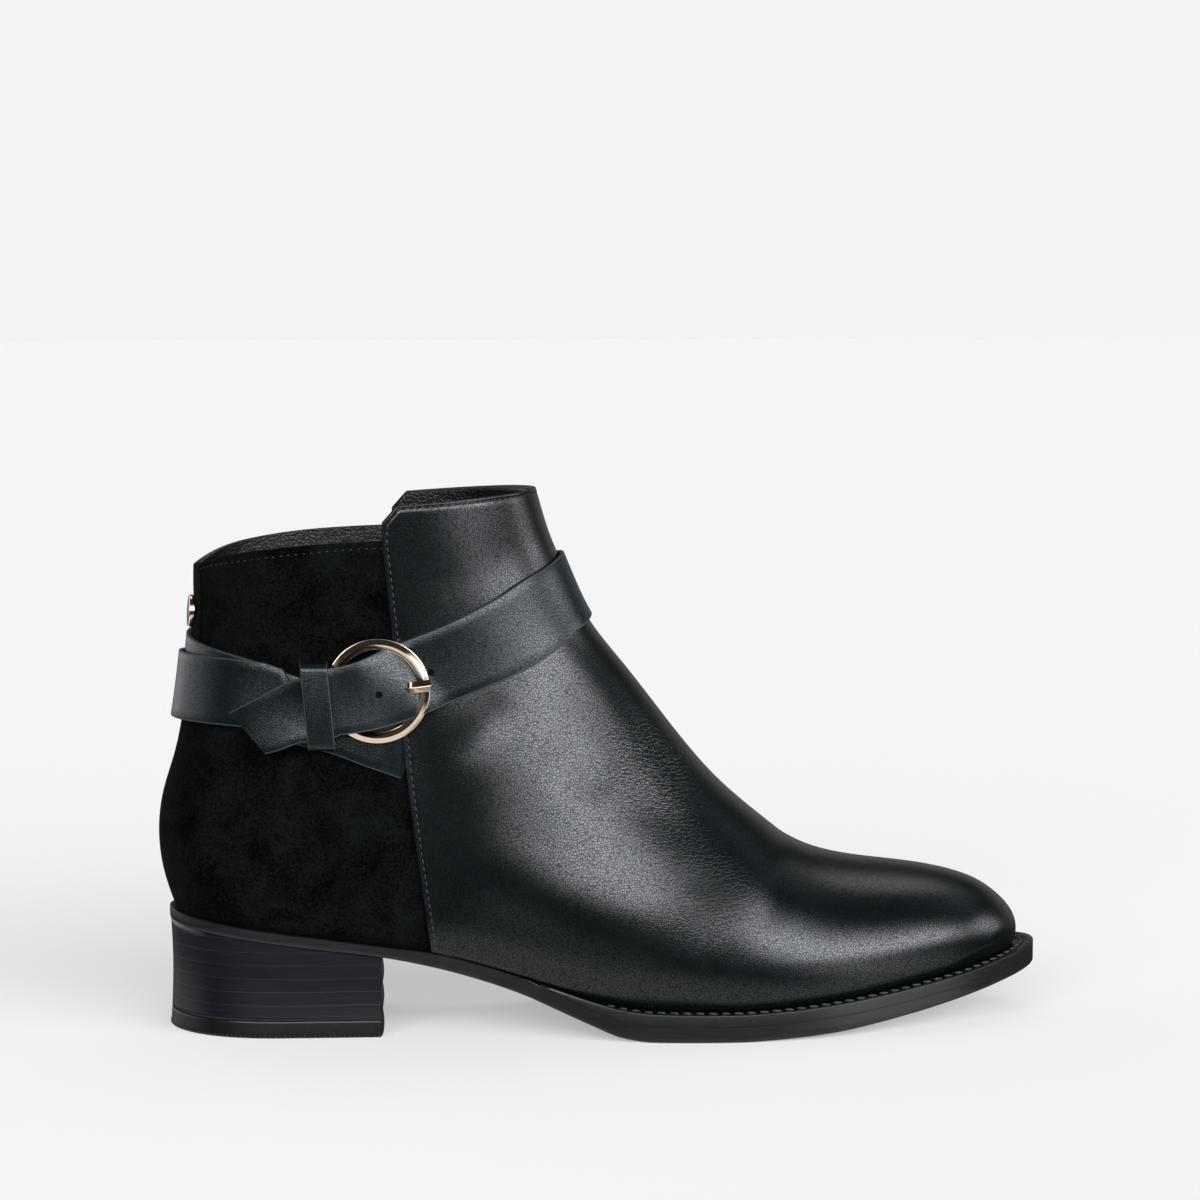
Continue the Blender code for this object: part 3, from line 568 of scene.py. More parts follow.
# Back stay: a strip of smoother suede down the closed back seam, from the collar to under the straps.
# It is skived thin, cemented and stitched over the seam, and the stud is riveted through it.
STAY_HALF_TOP = 10.5
STAY_HALF_LOW = 12.0
STAY_LOW_Z = 97.0
STAY_TOP_Z = 142.4
STAY_TOP_ROWS = np.array([1.4, 0.8, 0.4, 0.15, 0.0])
STAY_EDGE_RISE = 0.6
STAY_THICK = 0.45
STAY_WALL = 0.4
STAY_SIDE_ROUND = 0.4
STAY_TOP_ROUND = 0.5
STAY_PROBE = 4.0
stay_suede = suede_finish("stay_suede", (0.0012, 0.0015, 0.0014), (0.0042, 0.005, 0.0046), 0.3)
stay_rows = np.linspace(STAY_LOW_Z, STAY_TOP_Z - STAY_TOP_ROWS[0], 36)
stay_rows = np.concatenate([stay_rows, STAY_TOP_Z - STAY_TOP_ROWS[1:]])
stay_across = np.concatenate([np.linspace(0.0, 0.93, 11), [0.96, 0.98, 0.992, 1.0]])
points = []
faces = []
for side in (LATERAL, MEDIAL):
    share, height = np.meshgrid(stay_across, stay_rows)
    from_top = STAY_TOP_Z - height
    width = STAY_HALF_TOP + (STAY_HALF_LOW - STAY_HALF_TOP) * from_top / (STAY_TOP_Z - STAY_LOW_Z)
    # The skin leaves the middle plane with the square root of the depth, so depth goes with the square.
    full = np.sqrt(half_width_sq(back_x(height) + STAY_PROBE, height, side) / STAY_PROBE)
    depth = (share * width / full) ** 2
    lift = STAY_THICK - rolled((1.0 - share) * width, STAY_SIDE_ROUND) - rolled(from_top, STAY_TOP_ROUND)
    lift = lift + stud_dent(depth, height - STUD_Z)
    half = skin(back_x(height) + depth, height + STAY_EDGE_RISE * share * share, side, lift)
    half[:, 0, 1] = 0.0
    add_grid(points, faces, half)
back_stay = add_piece("back_stay", points, faces, stay_suede, outward=lambda face: face.normal.x > 0.0)
wall(back_stay, STAY_WALL, cut_edge)
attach(back_stay, "root")
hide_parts("upper")

# Vamp: one piece of smooth blue-black calf from the toe over the instep to the top of the front panel.
# It is lasted wet, lapped over the quarter and stitched along its rear edge; wear has left soft creases.
TOE_X = 266.9
VAMP_LIFT = 1.2
VAMP_WALL = 1.1
VAMP_EDGE_ROUND = 0.4
VAMP_CORNER = table("x z", [(73.1, 162.1), (68.6, 157.0)])
TOE_TOP_SHARE = 0.085
INSTEP_SHARE = 0.545
LEG_COLUMNS = 14.0
ALL_COLUMNS = 28.0
FREE_END = 0.4
SUNK = 2.0
SUNK_REACH = 8.0
SUNK_ARCH = 0.35
SUNK_ARCH_END = 112.0
SUNK_BALL_START = 124.0
FEATHER_TUCK = 0.8
FEATHER_REACH = 1.6
SEAM_STITCH_IN = 1.6
TOP_STITCH_IN = 1.5
SEAM_PULL = 0.16
TOP_PULL = 0.14
PULL_REACH = 0.45
PULL_CLEAR = 1.2

# Soft troughs and ridges in side view: two ends, half width, depth (a ridge has a depth below zero).
CREASES = table(
    "x0 z0 x1 z1 width depth",
    [
        (86.0, 108.0, 106.0, 54.0, 13.0, -1.8),
        (101.0, 51.0, 158.0, 26.0, 15.0, -2.5),
        (170.0, 52.0, 161.0, 30.0, 8.0, 0.5),
        (122.0, 86.0, 134.0, 76.0, 6.0, 0.55),
        (143.0, 73.0, 168.0, 58.0, 7.0, 0.55),
        (192.0, 55.0, 182.0, 34.0, 5.0, 0.4),
        (104.0, 100.0, 92.0, 88.0, 6.0, 0.4),
        (118.0, 146.0, 84.0, 140.0, 8.0, 0.3),
    ],
)
CREASE_REACH = 0.62
CREASE_CLEAR = 2.0
CREASE_EDGE_FADE = 9.0
CREASE_TOP_FADE = 8.0


def crease_lift(x, z):
    """How far the listed creases lower or raise the leather."""
    lift = np.zeros(np.shape(x))
    for x0, z0, x1, z1, width, depth in zip(*CREASES.values()):
        run = np.array([x1 - x0, z1 - z0])
        length = math.hypot(*run)
        run = run / length
        ahead = (x - x0) * run[0] + (z - z0) * run[1]
        across = (z - z0) * run[0] - (x - x0) * run[1]
        off_middle = (ahead - 0.5 * length) / (CREASE_REACH * length)
        lift = lift - depth * np.exp(-((across / width) ** 2)) * np.exp(-(off_middle**4))
    return lift


def vamp_edges(shift):
    """Functions of a column's number: the vamp's low edge and its front line."""
    low_x = SEAM_LOW + shift
    low_z = float(seat_z(low_x)) + GAP
    top_z = SEAM["z"][-1]

    def low_edge(column):
        corner_x = np.interp(column, [0.0, 1.0, 2.0], [*VAMP_CORNER["x"], SEAM["x"][-1]]) + shift
        corner_z = np.interp(column, [0.0, 1.0, 2.0], [*VAMP_CORNER["z"], top_z])
        down = np.clip((column - 2.0) / (LEG_COLUMNS - 2.0), 0.0, 1.0)
        lap_z = top_z + (low_z - top_z) * down
        foot_share = np.maximum(1.0 - (1.0 - down) / SEAM_FOOT_PART, 0.0)
        lap_x = seam_x(lap_z) + shift + (low_x - seam_x(low_z) - shift) * foot_share
        ahead = np.clip((column - LEG_COLUMNS) / (ALL_COLUMNS - LEG_COLUMNS), 0.0, 1.0)
        foot_x = low_x + (TOE_X - low_x) * np.sin(0.5 * math.pi * ahead)
        x = np.where(column < 2.0, corner_x, np.where(column < LEG_COLUMNS, lap_x, foot_x))
        sunk_at = [low_x, low_x + SUNK_REACH, SUNK_ARCH_END, SUNK_BALL_START]
        sunk = SUNK * np.interp(foot_x, sunk_at, [0.0, SUNK_ARCH, SUNK_ARCH, 1.0])
        foot_z = seat_z(foot_x) + GAP - sunk
        z = np.where(column < 2.0, corner_z, np.where(column < LEG_COLUMNS, lap_z, foot_z))
        return np.stack([x, z], axis=-1)

    def front_edge(column):
        leg = 1.0 - (1.0 - INSTEP_SHARE) * column / LEG_COLUMNS
        ahead = np.clip((column - LEG_COLUMNS) / (ALL_COLUMNS - LEG_COLUMNS), 0.0, 1.0)
        toe = INSTEP_SHARE + (TOE_TOP_SHARE - INSTEP_SHARE) * np.sin(0.5 * math.pi * ahead)
        return along(front_path, np.where(column < LEG_COLUMNS, leg, toe))

    return low_edge, front_edge


def vamp_points(shift, column, down):
    """Side-view points of one half of the vamp: column from collar to toe, down from the front line."""
    low_edge, front_edge = vamp_edges(shift)
    ends = np.array([0.0, ALL_COLUMNS])
    first_front, last_front = front_edge(ends)
    first_low, last_low = low_edge(ends)
    top = first_front + (first_low - first_front) * down[..., None]
    toe = along(front_path, TOE_TOP_SHARE * (1.0 - down))
    corners = (first_front, last_front, first_low, last_low)
    u = column / ALL_COLUMNS
    return between(u, down, front_edge(column), low_edge(column), top, toe, corners)


column_at = np.concatenate(
    [
        [0.0, 0.008, 0.02, 0.04, 0.065, 0.1, 0.14, 0.18, 0.22, 0.27, 0.34, 0.45, 0.6, 0.8],
        np.linspace(1.0, 2.0, 7)[:-1],
        np.linspace(2.0, LEG_COLUMNS, 73)[:-1],
        np.linspace(LEG_COLUMNS, ALL_COLUMNS, 92),
    ]
)
EDGE_ROWS = np.array([4.6, 3.8, 3.1, 2.6, 2.25, 1.95, 1.6, 1.25, 0.95, 0.65, 0.42, 0.25, 0.12, 0.04, 0.0])
EDGE_BAND = 5.4
SHORTEST_COLUMN = 16.0
OPEN_ROWS = 62


def vamp_rows(shift, columns):
    """Shares down each column: eased from the front line, then set distances from the low edge."""
    low_edge, front_edge = vamp_edges(shift)
    length = np.hypot(*(low_edge(columns) - front_edge(columns)).T)
    length = np.maximum(length, SHORTEST_COLUMN)
    inner = 1.0 - EDGE_BAND / length
    open_rows = eased(0.0, 1.0, OPEN_ROWS, ease_end=False)[:, None] * inner[None]
    edge_rows = 1.0 - EDGE_ROWS[:, None] / length[None]
    return np.vstack([open_rows, edge_rows])


BLACK = (0.0, 0.0, 0.0)
WHITE = (1.0, 1.0, 1.0)
GRAIN_WARP = 0.35
vamp_leather, vamp_tree, vamp_shader = finish("blue_black_calf", (0.0009, 0.0022, 0.0025), 0.2)


def spread(tree, source, inside, outside, kind="LINEAR"):
    """Carries a value from one range over to another."""
    node = tree.nodes.new("ShaderNodeMapRange")
    node.interpolation_type = kind
    for socket, value in zip(("From Min", "From Max", "To Min", "To Max"), (*inside, *outside)):
        node.inputs[socket].default_value = value
    tree.links.new(source, node.inputs["Value"])
    return node.outputs["Result"]


def calf_grain(tree, shader, cell, thin, full, roughness):
    """Fine pebbled grain with cloudy gloss, under a finish coat that is thinner in its crevices; the gloss
    lost there is partly that thinner finish and partly painted crevice shade.
    """
    shift = texture(tree, "ShaderNodeTexNoise", GRAIN_WARP / (cell * MM), Detail=2.0)
    pebble = texture(tree, "ShaderNodeTexVoronoi", 1.0 / (cell * MM))
    pebble.feature = "DISTANCE_TO_EDGE"
    warp = tree.nodes.new("ShaderNodeVectorMath")
    warp.operation = "MULTIPLY_ADD"
    warp.inputs[1].default_value = (GRAIN_WARP * cell * MM,) * 3
    tree.links.new(shift.outputs["Color"], warp.inputs[0])
    tree.links.new(pebble.inputs["Vector"].links[0].from_socket, warp.inputs[2])
    tree.links.new(warp.outputs["Vector"], pebble.inputs["Vector"])
    cloud = texture(tree, "ShaderNodeTexNoise", 55.0, Detail=3.0, Roughness=0.55)
    gloss = spread(tree, cloud.outputs["Fac"], (0.3, 0.7), (roughness + 0.1, roughness + 0.2))
    tree.links.new(gloss, shader.inputs["Roughness"])
    top = ramp(tree, pebble.outputs["Distance"], [(0.0, BLACK), (0.2, WHITE)])
    # Coat weight from the crevices to the pebble tops: a thinner finish in the crevices, and partly a painted
    # shade there.
    tree.links.new(spread(tree, top, (0.0, 1.0), (thin, full)), shader.inputs["Coat Weight"])
    shader.inputs["Coat Roughness"].default_value = roughness
    shader.inputs["Specular IOR Level"].default_value = 0.1
    return top, cloud


vamp_pebble, vamp_cloud = calf_grain(vamp_tree, vamp_shader, 0.8, 0.14, 1.0, 0.18)
flex = vamp_tree.nodes.new("ShaderNodeAttribute")
flex.attribute_name = "flex"
dull = vamp_tree.nodes.new("ShaderNodeAttribute")
dull.attribute_name = "dull"
vamp_coat = vamp_shader.inputs["Coat Weight"].links[0].from_socket
vamp_gloss = math_node(vamp_tree, "SUBTRACT", 1.0, dull.outputs["Fac"])
vamp_coat = math_node(vamp_tree, "MULTIPLY", vamp_coat, vamp_gloss)
vamp_tree.links.new(vamp_coat, vamp_shader.inputs["Coat Weight"])
crack = texture(vamp_tree, "ShaderNodeTexVoronoi", 620.0, stretch=(0.62, 0.8, 1.5))
crack.feature = "DISTANCE_TO_EDGE"
crack_line = ramp(vamp_tree, crack.outputs["Distance"], [(0.0, BLACK), (0.16, WHITE)])
crack_depth = math_node(vamp_tree, "SUBTRACT", crack_line, 1.0)
crack_depth = math_node(vamp_tree, "MULTIPLY", crack_depth, flex.outputs["Fac"])
bumps(
    vamp_tree,
    vamp_shader,
    [
        (vamp_cloud.outputs["Fac"], 0.12, 0.5),
        (crack_depth, 0.5, 0.12),
        (vamp_pebble, 1.0, 0.014),
    ],
)

points = []
faces = []
for side, shift in SIDES:
    down = vamp_rows(shift, column_at)
    column = np.broadcast_to(column_at[None], down.shape)
    flat = vamp_points(shift, column, down)
    low_edge, front_edge = vamp_edges(shift)
    from_edge = np.hypot(*np.moveaxis(flat - low_edge(column), -1, 0))
    free = np.clip((LEG_COLUMNS - column) / FREE_END + 1.0, 0.0, 1.0)
    from_top = np.hypot(*np.moveaxis(flat - vamp_points(shift, np.zeros(down.shape), down), -1, 0))
    lift = VAMP_LIFT - free * rolled(from_edge, VAMP_EDGE_ROUND) - rolled(from_top, VAMP_EDGE_ROUND)
    seam_pull = np.exp(-(((from_edge - SEAM_STITCH_IN) / PULL_REACH) ** 2)) * (from_top > PULL_CLEAR)
    top_pull = np.exp(-(((from_top - TOP_STITCH_IN) / PULL_REACH) ** 2)) * (from_edge > PULL_CLEAR)
    lift = lift - free * SEAM_PULL * seam_pull - TOP_PULL * top_pull
    lift = lift - (1.0 - free) * FEATHER_TUCK * np.exp(-((from_edge / FEATHER_REACH) ** 2))
    fade = np.clip((from_edge - CREASE_CLEAR) / CREASE_EDGE_FADE, 0.0, 1.0)
    fade = fade * np.clip((from_top - CREASE_CLEAR) / CREASE_TOP_FADE, 0.0, 1.0)
    lift = lift + crease_lift(flat[..., 0], flat[..., 1]) * fade
    half = skin(flat[..., 0], flat[..., 1], side, lift)
    half[0, :, 1] = middle(flat[0, :, 0])
    half[:, -1, 1] = middle(flat[:, -1, 0])
    sunk = SUNK * np.clip((half[..., 0] - SEAM_LOW - shift) / SUNK_REACH, 0.0, 1.0)
    half[..., 2] = np.maximum(half[..., 2], seat_z(half[..., 0]) + GAP - sunk)
    add_grid(points, faces, half)
vamp = add_piece("vamp", points, faces, vamp_leather, outward=lambda face: face.normal.x < 0.0)
wall(vamp, VAMP_WALL, cut_edge)

# Two worn spots: fine cracks lie at the bend of the instep and, fainter, across the ball, duller too.
INSTEP_WEAR = {"x": 153.0, "z": 83.0, "reach_x": 20.0, "reach_z": 17.0, "strength": 1.0}
BALL_WEAR = {"x": 168.0, "z": 46.0, "reach_x": 15.0, "reach_z": 15.0, "strength": 0.8}
BALL_DULL = 1.15


def wear(piece, spot):
    """How worn each point of a piece is, round one spot of the side view."""
    at = np.array([vertex.co for vertex in piece.data.vertices]) / MM - LAST_TO_FRAME
    ahead = (at[:, 0] - spot["x"]) / spot["reach_x"]
    up = (at[:, 2] - spot["z"]) / spot["reach_z"]
    return spot["strength"] * np.exp(-(ahead**2) - up**2)


ball_wear = wear(vamp, BALL_WEAR)
for name, worn in (("flex", wear(vamp, INSTEP_WEAR) + ball_wear), ("dull", BALL_DULL * ball_wear)):
    shade = vamp.data.attributes.new(name, "FLOAT", "POINT")
    shade.data.foreach_set("value", np.clip(worn, 0.0, 1.0).astype(np.float32))
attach(vamp, "root")
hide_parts("upper")

# Lining: black grain leather inside the quarter and the vamp, cemented to them and stitched at the collar.
# It meets itself at the side seams and ends flush with the collar.
LINING_LIFT = -1.25
LINING_STEP = 0.3
LINING_WALL = 0.75
LINING_TOP = 2.0
LINING_TOP_ROWS = np.array([1.2, 0.6, 0.3])
LINING_ACROSS = 34
lining_leather, lining_tree, lining_shader = finish("lining_leather", (0.0016, 0.0022, 0.002), 0.34)
lining_pebble = calf_grain(lining_tree, lining_shader, 1.4, 0.1, 0.45, 0.3)[0]
bumps(lining_tree, lining_shader, [(lining_pebble, 1.0, 0.08)])
lining_rows = np.linspace(0.0, 1.0 - LINING_TOP / QUARTER_TALL, 40)
lining_rows = np.concatenate([lining_rows, 1.0 - LINING_TOP_ROWS / QUARTER_TALL])
lining_across = eased(0.0, 1.0, LINING_ACROSS, ease_end=False)
lining_legs = np.concatenate([[0.06, 0.2, 0.6], np.linspace(1.0, LEG_COLUMNS, 40)])
lining_columns = np.concatenate([lining_legs, np.linspace(LEG_COLUMNS + 0.5, ALL_COLUMNS, 40)])
points = []
faces = []
for side, shift in SIDES:
    grid = quarter_grid(shift, 0.0, lining_rows, lining_across)
    half = skin(grid[..., 0], grid[..., 1], side, LINING_LIFT)
    half[:, 0, 1] = 0.0
    add_grid(points, faces, half)
    column, down = np.meshgrid(lining_columns, lining_across)
    flat = vamp_points(shift, column, down)
    half = skin(flat[..., 0], flat[..., 1], side, LINING_LIFT + LINING_STEP)
    half[0, :, 1] = middle(flat[0, :, 0])
    half[:, -1, 1] = middle(flat[:, -1, 0])
    half[..., 2] = np.maximum(half[..., 2], seat_z(half[..., 0]) + GAP)
    add_grid(points, faces, half)
lining = add_piece("lining", points, faces, lining_leather, outward=lambda face: face.normal.x > 0.0)
wall(lining, LINING_WALL, cut_edge)
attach(lining, "root")
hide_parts("upper")

# Upper stitching: black waxed thread along the vamp's rear edge and top, and round the quarter's collar.
# Each row is laid along its line on the leather, one short stitch after another, with a near-black bead at
# each needle hole as painted shade.
thread, thread_tree, thread_shader = finish("black_thread", (0.012, 0.015, 0.017), 0.5)
thread_twist = texture(thread_tree, "ShaderNodeTexNoise", 3500.0, Detail=1.0)
THREAD_COLOURS = [(0.4, (0.005, 0.0065, 0.007)), (0.72, (0.022, 0.027, 0.03))]
mottle(thread_tree, thread_shader, thread_twist.outputs["Fac"], THREAD_COLOURS)
# Near-black finish painted as the shade inside the needle holes and the punched strap holes.
painted_hole_shade, hole_tree, hole_shader = finish("needle_hole_painted_shade", (0.002, 0.002, 0.002), 0.9, specular=0.05)
hole_fleck = texture(hole_tree, "ShaderNodeTexNoise", 2500.0)
NEEDLE_SHADE_COLOURS = [(0.3, (0.001, 0.001, 0.001)), (0.7, (0.004, 0.004, 0.004))]
mottle(hole_tree, hole_shader, hole_fleck.outputs["Fac"], NEEDLE_SHADE_COLOURS)
PAST_ANY_END = 100.0


def stitch_row_tree():
    """Lays one small stitch after another along a line of points that carry their outward direction."""
    tree = bpy.data.node_groups.new("stitch_row", "GeometryNodeTree")
    tree.interface.new_socket("Geometry", in_out="INPUT", socket_type="NodeSocketGeometry")
    for size in ("Pitch", "Start", "Length", "Width", "Height", "Slant", "Sink"):
        tree.interface.new_socket(size, in_out="INPUT", socket_type="NodeSocketFloat")
    tree.interface.new_socket("Thread", in_out="INPUT", socket_type="NodeSocketMaterial")
    tree.interface.new_socket("Geometry", in_out="OUTPUT", socket_type="NodeSocketGeometry")
    node = {}
    for name, kind in (
        ("sizes", "NodeGroupInput"),
        ("line", "GeometryNodeMeshToCurve"),
        ("spaced", "GeometryNodeResampleCurve"),
        ("trimmed", "GeometryNodeTrimCurve"),
        ("tangent", "GeometryNodeInputTangent"),
        ("outward", "GeometryNodeInputNamedAttribute"),
        ("turn", "FunctionNodeAxesToRotation"),
        ("slant", "FunctionNodeRotateRotation"),
        ("slant_turn", "ShaderNodeCombineXYZ"),
        ("slant_rotation", "FunctionNodeEulerToRotation"),
        ("bead", "GeometryNodeMeshUVSphere"),
        ("bead_size", "ShaderNodeCombineXYZ"),
        ("bead_scaled", "GeometryNodeTransform"),
        ("bead_smooth", "GeometryNodeSetShadeSmooth"),
        ("sink", "ShaderNodeCombineXYZ"),
        ("laid", "GeometryNodeInstanceOnPoints"),
        ("real", "GeometryNodeRealizeInstances"),
        ("thread", "GeometryNodeSetMaterial"),
        ("row", "NodeGroupOutput"),
    ):
        node[name] = tree.nodes.new(kind)
    node["spaced"].mode = "LENGTH"
    node["trimmed"].mode = "LENGTH"
    start_length, end_length = node["trimmed"].inputs[4:6]
    end_length.default_value = PAST_ANY_END
    node["outward"].data_type = "FLOAT_VECTOR"
    node["outward"].inputs["Name"].default_value = "outward"
    node["turn"].primary_axis = "Z"
    node["turn"].secondary_axis = "X"
    node["slant"].rotation_space = "LOCAL"
    node["bead"].inputs["Segments"].default_value = 8
    node["bead"].inputs["Rings"].default_value = 5
    node["bead"].inputs["Radius"].default_value = 0.5
    link = tree.links.new
    link(node["sizes"].outputs["Geometry"], node["line"].inputs["Mesh"])
    link(node["line"].outputs["Curve"], node["trimmed"].inputs["Curve"])
    link(node["sizes"].outputs["Start"], start_length)
    link(node["trimmed"].outputs["Curve"], node["spaced"].inputs["Curve"])
    link(node["sizes"].outputs["Pitch"], node["spaced"].inputs["Length"])
    link(node["outward"].outputs["Attribute"], node["turn"].inputs["Primary Axis"])
    link(node["tangent"].outputs["Tangent"], node["turn"].inputs["Secondary Axis"])
    link(node["sizes"].outputs["Slant"], node["slant_turn"].inputs["Z"])
    link(node["slant_turn"].outputs["Vector"], node["slant_rotation"].inputs["Euler"])
    link(node["turn"].outputs["Rotation"], node["slant"].inputs["Rotation"])
    link(node["slant_rotation"].outputs["Rotation"], node["slant"].inputs["Rotate By"])
    for size, axis in (("Length", "X"), ("Width", "Y"), ("Height", "Z")):
        link(node["sizes"].outputs[size], node["bead_size"].inputs[axis])
    link(node["sizes"].outputs["Sink"], node["sink"].inputs["Z"])
    link(node["bead"].outputs["Mesh"], node["bead_scaled"].inputs["Geometry"])
    link(node["bead_size"].outputs["Vector"], node["bead_scaled"].inputs["Scale"])
    link(node["sink"].outputs["Vector"], node["bead_scaled"].inputs["Translation"])
    link(node["bead_scaled"].outputs["Geometry"], node["bead_smooth"].inputs["Geometry"])
    link(node["spaced"].outputs["Curve"], node["laid"].inputs["Points"])
    link(node["bead_smooth"].outputs["Geometry"], node["laid"].inputs["Instance"])
    link(node["slant"].outputs["Rotation"], node["laid"].inputs["Rotation"])
    link(node["laid"].outputs["Instances"], node["real"].inputs["Geometry"])
    link(node["real"].outputs["Geometry"], node["thread"].inputs["Geometry"])
    link(node["sizes"].outputs["Thread"], node["thread"].inputs["Material"])
    link(node["thread"].outputs["Geometry"], node["row"].inputs["Geometry"])
    return tree


stitch_tree = stitch_row_tree()


def stitch_line(name, lines, material, **sizes):
    """A piece of stitches along lines of points and outward directions in the last's millimetres."""
    mesh = bpy.data.meshes.new(name)
    points = []
    outward = []
    edges = []
    for line, out in lines:
        first = len(points)
        points += ((np.asarray(line) + LAST_TO_FRAME) * MM).tolist()
        outward += np.asarray(out).ravel().tolist()
        edges += [(first + i, first + i + 1) for i in range(len(line) - 1)]
    mesh.from_pydata(points, edges, [])
    mesh.attributes.new("outward", "FLOAT_VECTOR", "POINT").data.foreach_set("vector", outward)
    piece = bpy.data.objects.new(name, mesh)
    bpy.context.scene.collection.objects.link(piece)
    rows = piece.modifiers.new("stitches", "NODES")
    rows.node_group = stitch_tree
    for socket in stitch_tree.interface.items_tree:
        if socket.in_out != "INPUT" or socket.socket_type == "NodeSocketGeometry":
            continue
        if socket.name == "Thread":
            rows[socket.identifier] = material
        elif socket.name == "Slant":
            rows[socket.identifier] = math.radians(sizes["slant"])
        else:
            rows[socket.identifier] = sizes[socket.name.lower()] * MM
    settle(piece)
    return piece


def on_skin(flat, side, lift):
    """A line on the skin and its outward directions."""
    low = skin(flat[:, 0], flat[:, 1], side, lift)
    high = skin(flat[:, 0], flat[:, 1], side, lift + 1.0)
    return low, high - low


SEAM_STITCH_SINK = 0.14
TOP_STITCH_SINK = 0.12
COLLAR_STITCH_SINK = 0.02
COLLAR_STITCH_IN = 2.0
TOP_COLUMN_WIDE = 7.8
TOP_STITCH_END = 0.965
seam_lines = []
top_lines = []
collar_lines = []
for side, shift in SIDES:
    columns = np.concatenate([np.linspace(1.0, 2.0, 6)[:-1], np.linspace(2.0, LEG_COLUMNS - 0.05, 60)])
    low_edge, front_edge = vamp_edges(shift)
    edge = low_edge(columns)
    inward = front_edge(columns) - edge
    inward = inward / np.hypot(*inward.T)[:, None]
    seam_lines.append(on_skin(edge + inward * SEAM_STITCH_IN, side, VAMP_LIFT - SEAM_STITCH_SINK))
    down = np.linspace(0.0, 1.0, 80) ** 2 * TOP_STITCH_END
    columns = np.full(down.shape, TOP_STITCH_IN / TOP_COLUMN_WIDE)
    top_lines.append(on_skin(vamp_points(shift, columns, down), side, VAMP_LIFT - TOP_STITCH_SINK))
    rows_at = np.array([0.0, 1.0 - COLLAR_STITCH_IN / QUARTER_TALL, 1.0])
    grid = quarter_grid(shift, 0.0, rows_at, np.linspace(0.05, 0.985, 60))
    collar_lines.append(on_skin(grid[1], side, -COLLAR_STITCH_SINK))
UPPER_PITCH = 2.3
upper_stitches = stitch_line(
    "upper_stitches", seam_lines + top_lines, thread,
    pitch=UPPER_PITCH, start=1.0, length=1.75, width=0.5, height=0.42, slant=4.0, sink=0.02,
)
# Near-black beads between the stitches: painted shade of the needle holes.
upper_holes = stitch_line(
    "upper_stitch_holes", seam_lines + top_lines, painted_hole_shade,
    pitch=UPPER_PITCH, start=1.0 + 0.5 * UPPER_PITCH, length=0.75, width=0.6, height=0.2, slant=0.0, sink=0.0,
)
collar_stitches = stitch_line(
    "collar_stitches", collar_lines, thread,
    pitch=UPPER_PITCH, start=1.0, length=0.95, width=0.34, height=0.28, slant=4.0, sink=0.0,
)
for stitched in (upper_stitches, upper_holes, collar_stitches):
    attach(stitched, "root")

# Insole: the board that the upper is lasted onto, covered with black leather on its upper face.
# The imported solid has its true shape, so it stays and takes the finish.
insole_leather, insole_tree, insole_shader = finish("insole_leather", (0.004, 0.0042, 0.0042), 0.5)
insole_pebble = calf_grain(insole_tree, insole_shader, 0.9, 0.1, 0.3, 0.45)[0]
bumps(insole_tree, insole_shader, [(insole_pebble, 1.0, 0.03)])
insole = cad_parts["insole"]
insole.data.materials.clear()
insole.data.materials.append(insole_leather)

# Outsole: one leather board from heel seat to toe with the arch and toe spring, cemented and stitched on.
# Its edge is trimmed square, waxed and burnished dark, with the lower corner rounded over to the tread.
WELT_START = 116.0
WELT_FULL = 139.0
WELT_RAMP = 4.0
WELT_DEPTH = 4.4
WELT_BEDDING = 0.05
BARE_FADE = 12.0
SMALLEST_CAP = 0.02
tread_z = held_spline(SOLE["x"], SOLE["tread"])
margin = held_spline(SOLE["x"], SOLE["margin"])


def outline(xs, side, offset):
    """The feather edge in plan, moved out by an offset along its plan normal."""
    step = SLOPE_STEP
    half = side * np.sqrt(np.maximum(half_width_sq(xs, seat_z(xs), side), 0.0))
    half[(xs <= HEEL_X) | (xs >= TOE_X)] = 0.0
    swing = (middle(xs + step) - middle(xs - step)) / (2.0 * step)
    ahead = half_width_sq(xs + step, seat_z(xs + step), side)
    behind = half_width_sq(xs - step, seat_z(xs - step), side)
    slope = (ahead - behind) / (2.0 * step)
    normal = np.stack([-slope - 2.0 * half * swing, 2.0 * half], axis=-1)
    normal /= np.linalg.norm(normal, axis=-1)[..., None]
    reach = np.broadcast_to(offset, xs.shape)[..., None]
    return np.stack([xs, middle(xs) + half], axis=-1) + normal * reach


def welt_depth(x):
    """How far the welt lets the outsole's top down."""
    ramp_start = WELT_START - WELT_RAMP
    return WELT_DEPTH * np.clip((x - ramp_start) / (WELT_FULL - ramp_start), 0.0, 1.0)


def loft(sections, caps=True):
    """Points and faces of a closed skin through rings of equal count."""
    count, size = sections.shape[:2]
    faces = []
    for k in range(count - 1):
        for i in range(size):
            j = (i + 1) % size
            faces.append((k * size + i, k * size + j, (k + 1) * size + j, (k + 1) * size + i))
    if caps:
        for k in (0, count - 1):
            if np.ptp(sections[k], axis=0)[:2].max() > SMALLEST_CAP:
                faces.append(tuple(k * size + i for i in range(size)))
    return sections.reshape(-1, 3), faces


def outsole_top(x):
    """The outsole's top face: the seat, let down under the welt."""
    return seat_z(x) - np.where(x > WELT_START - WELT_RAMP, welt_depth(x) + WELT_BEDDING, 0.0)


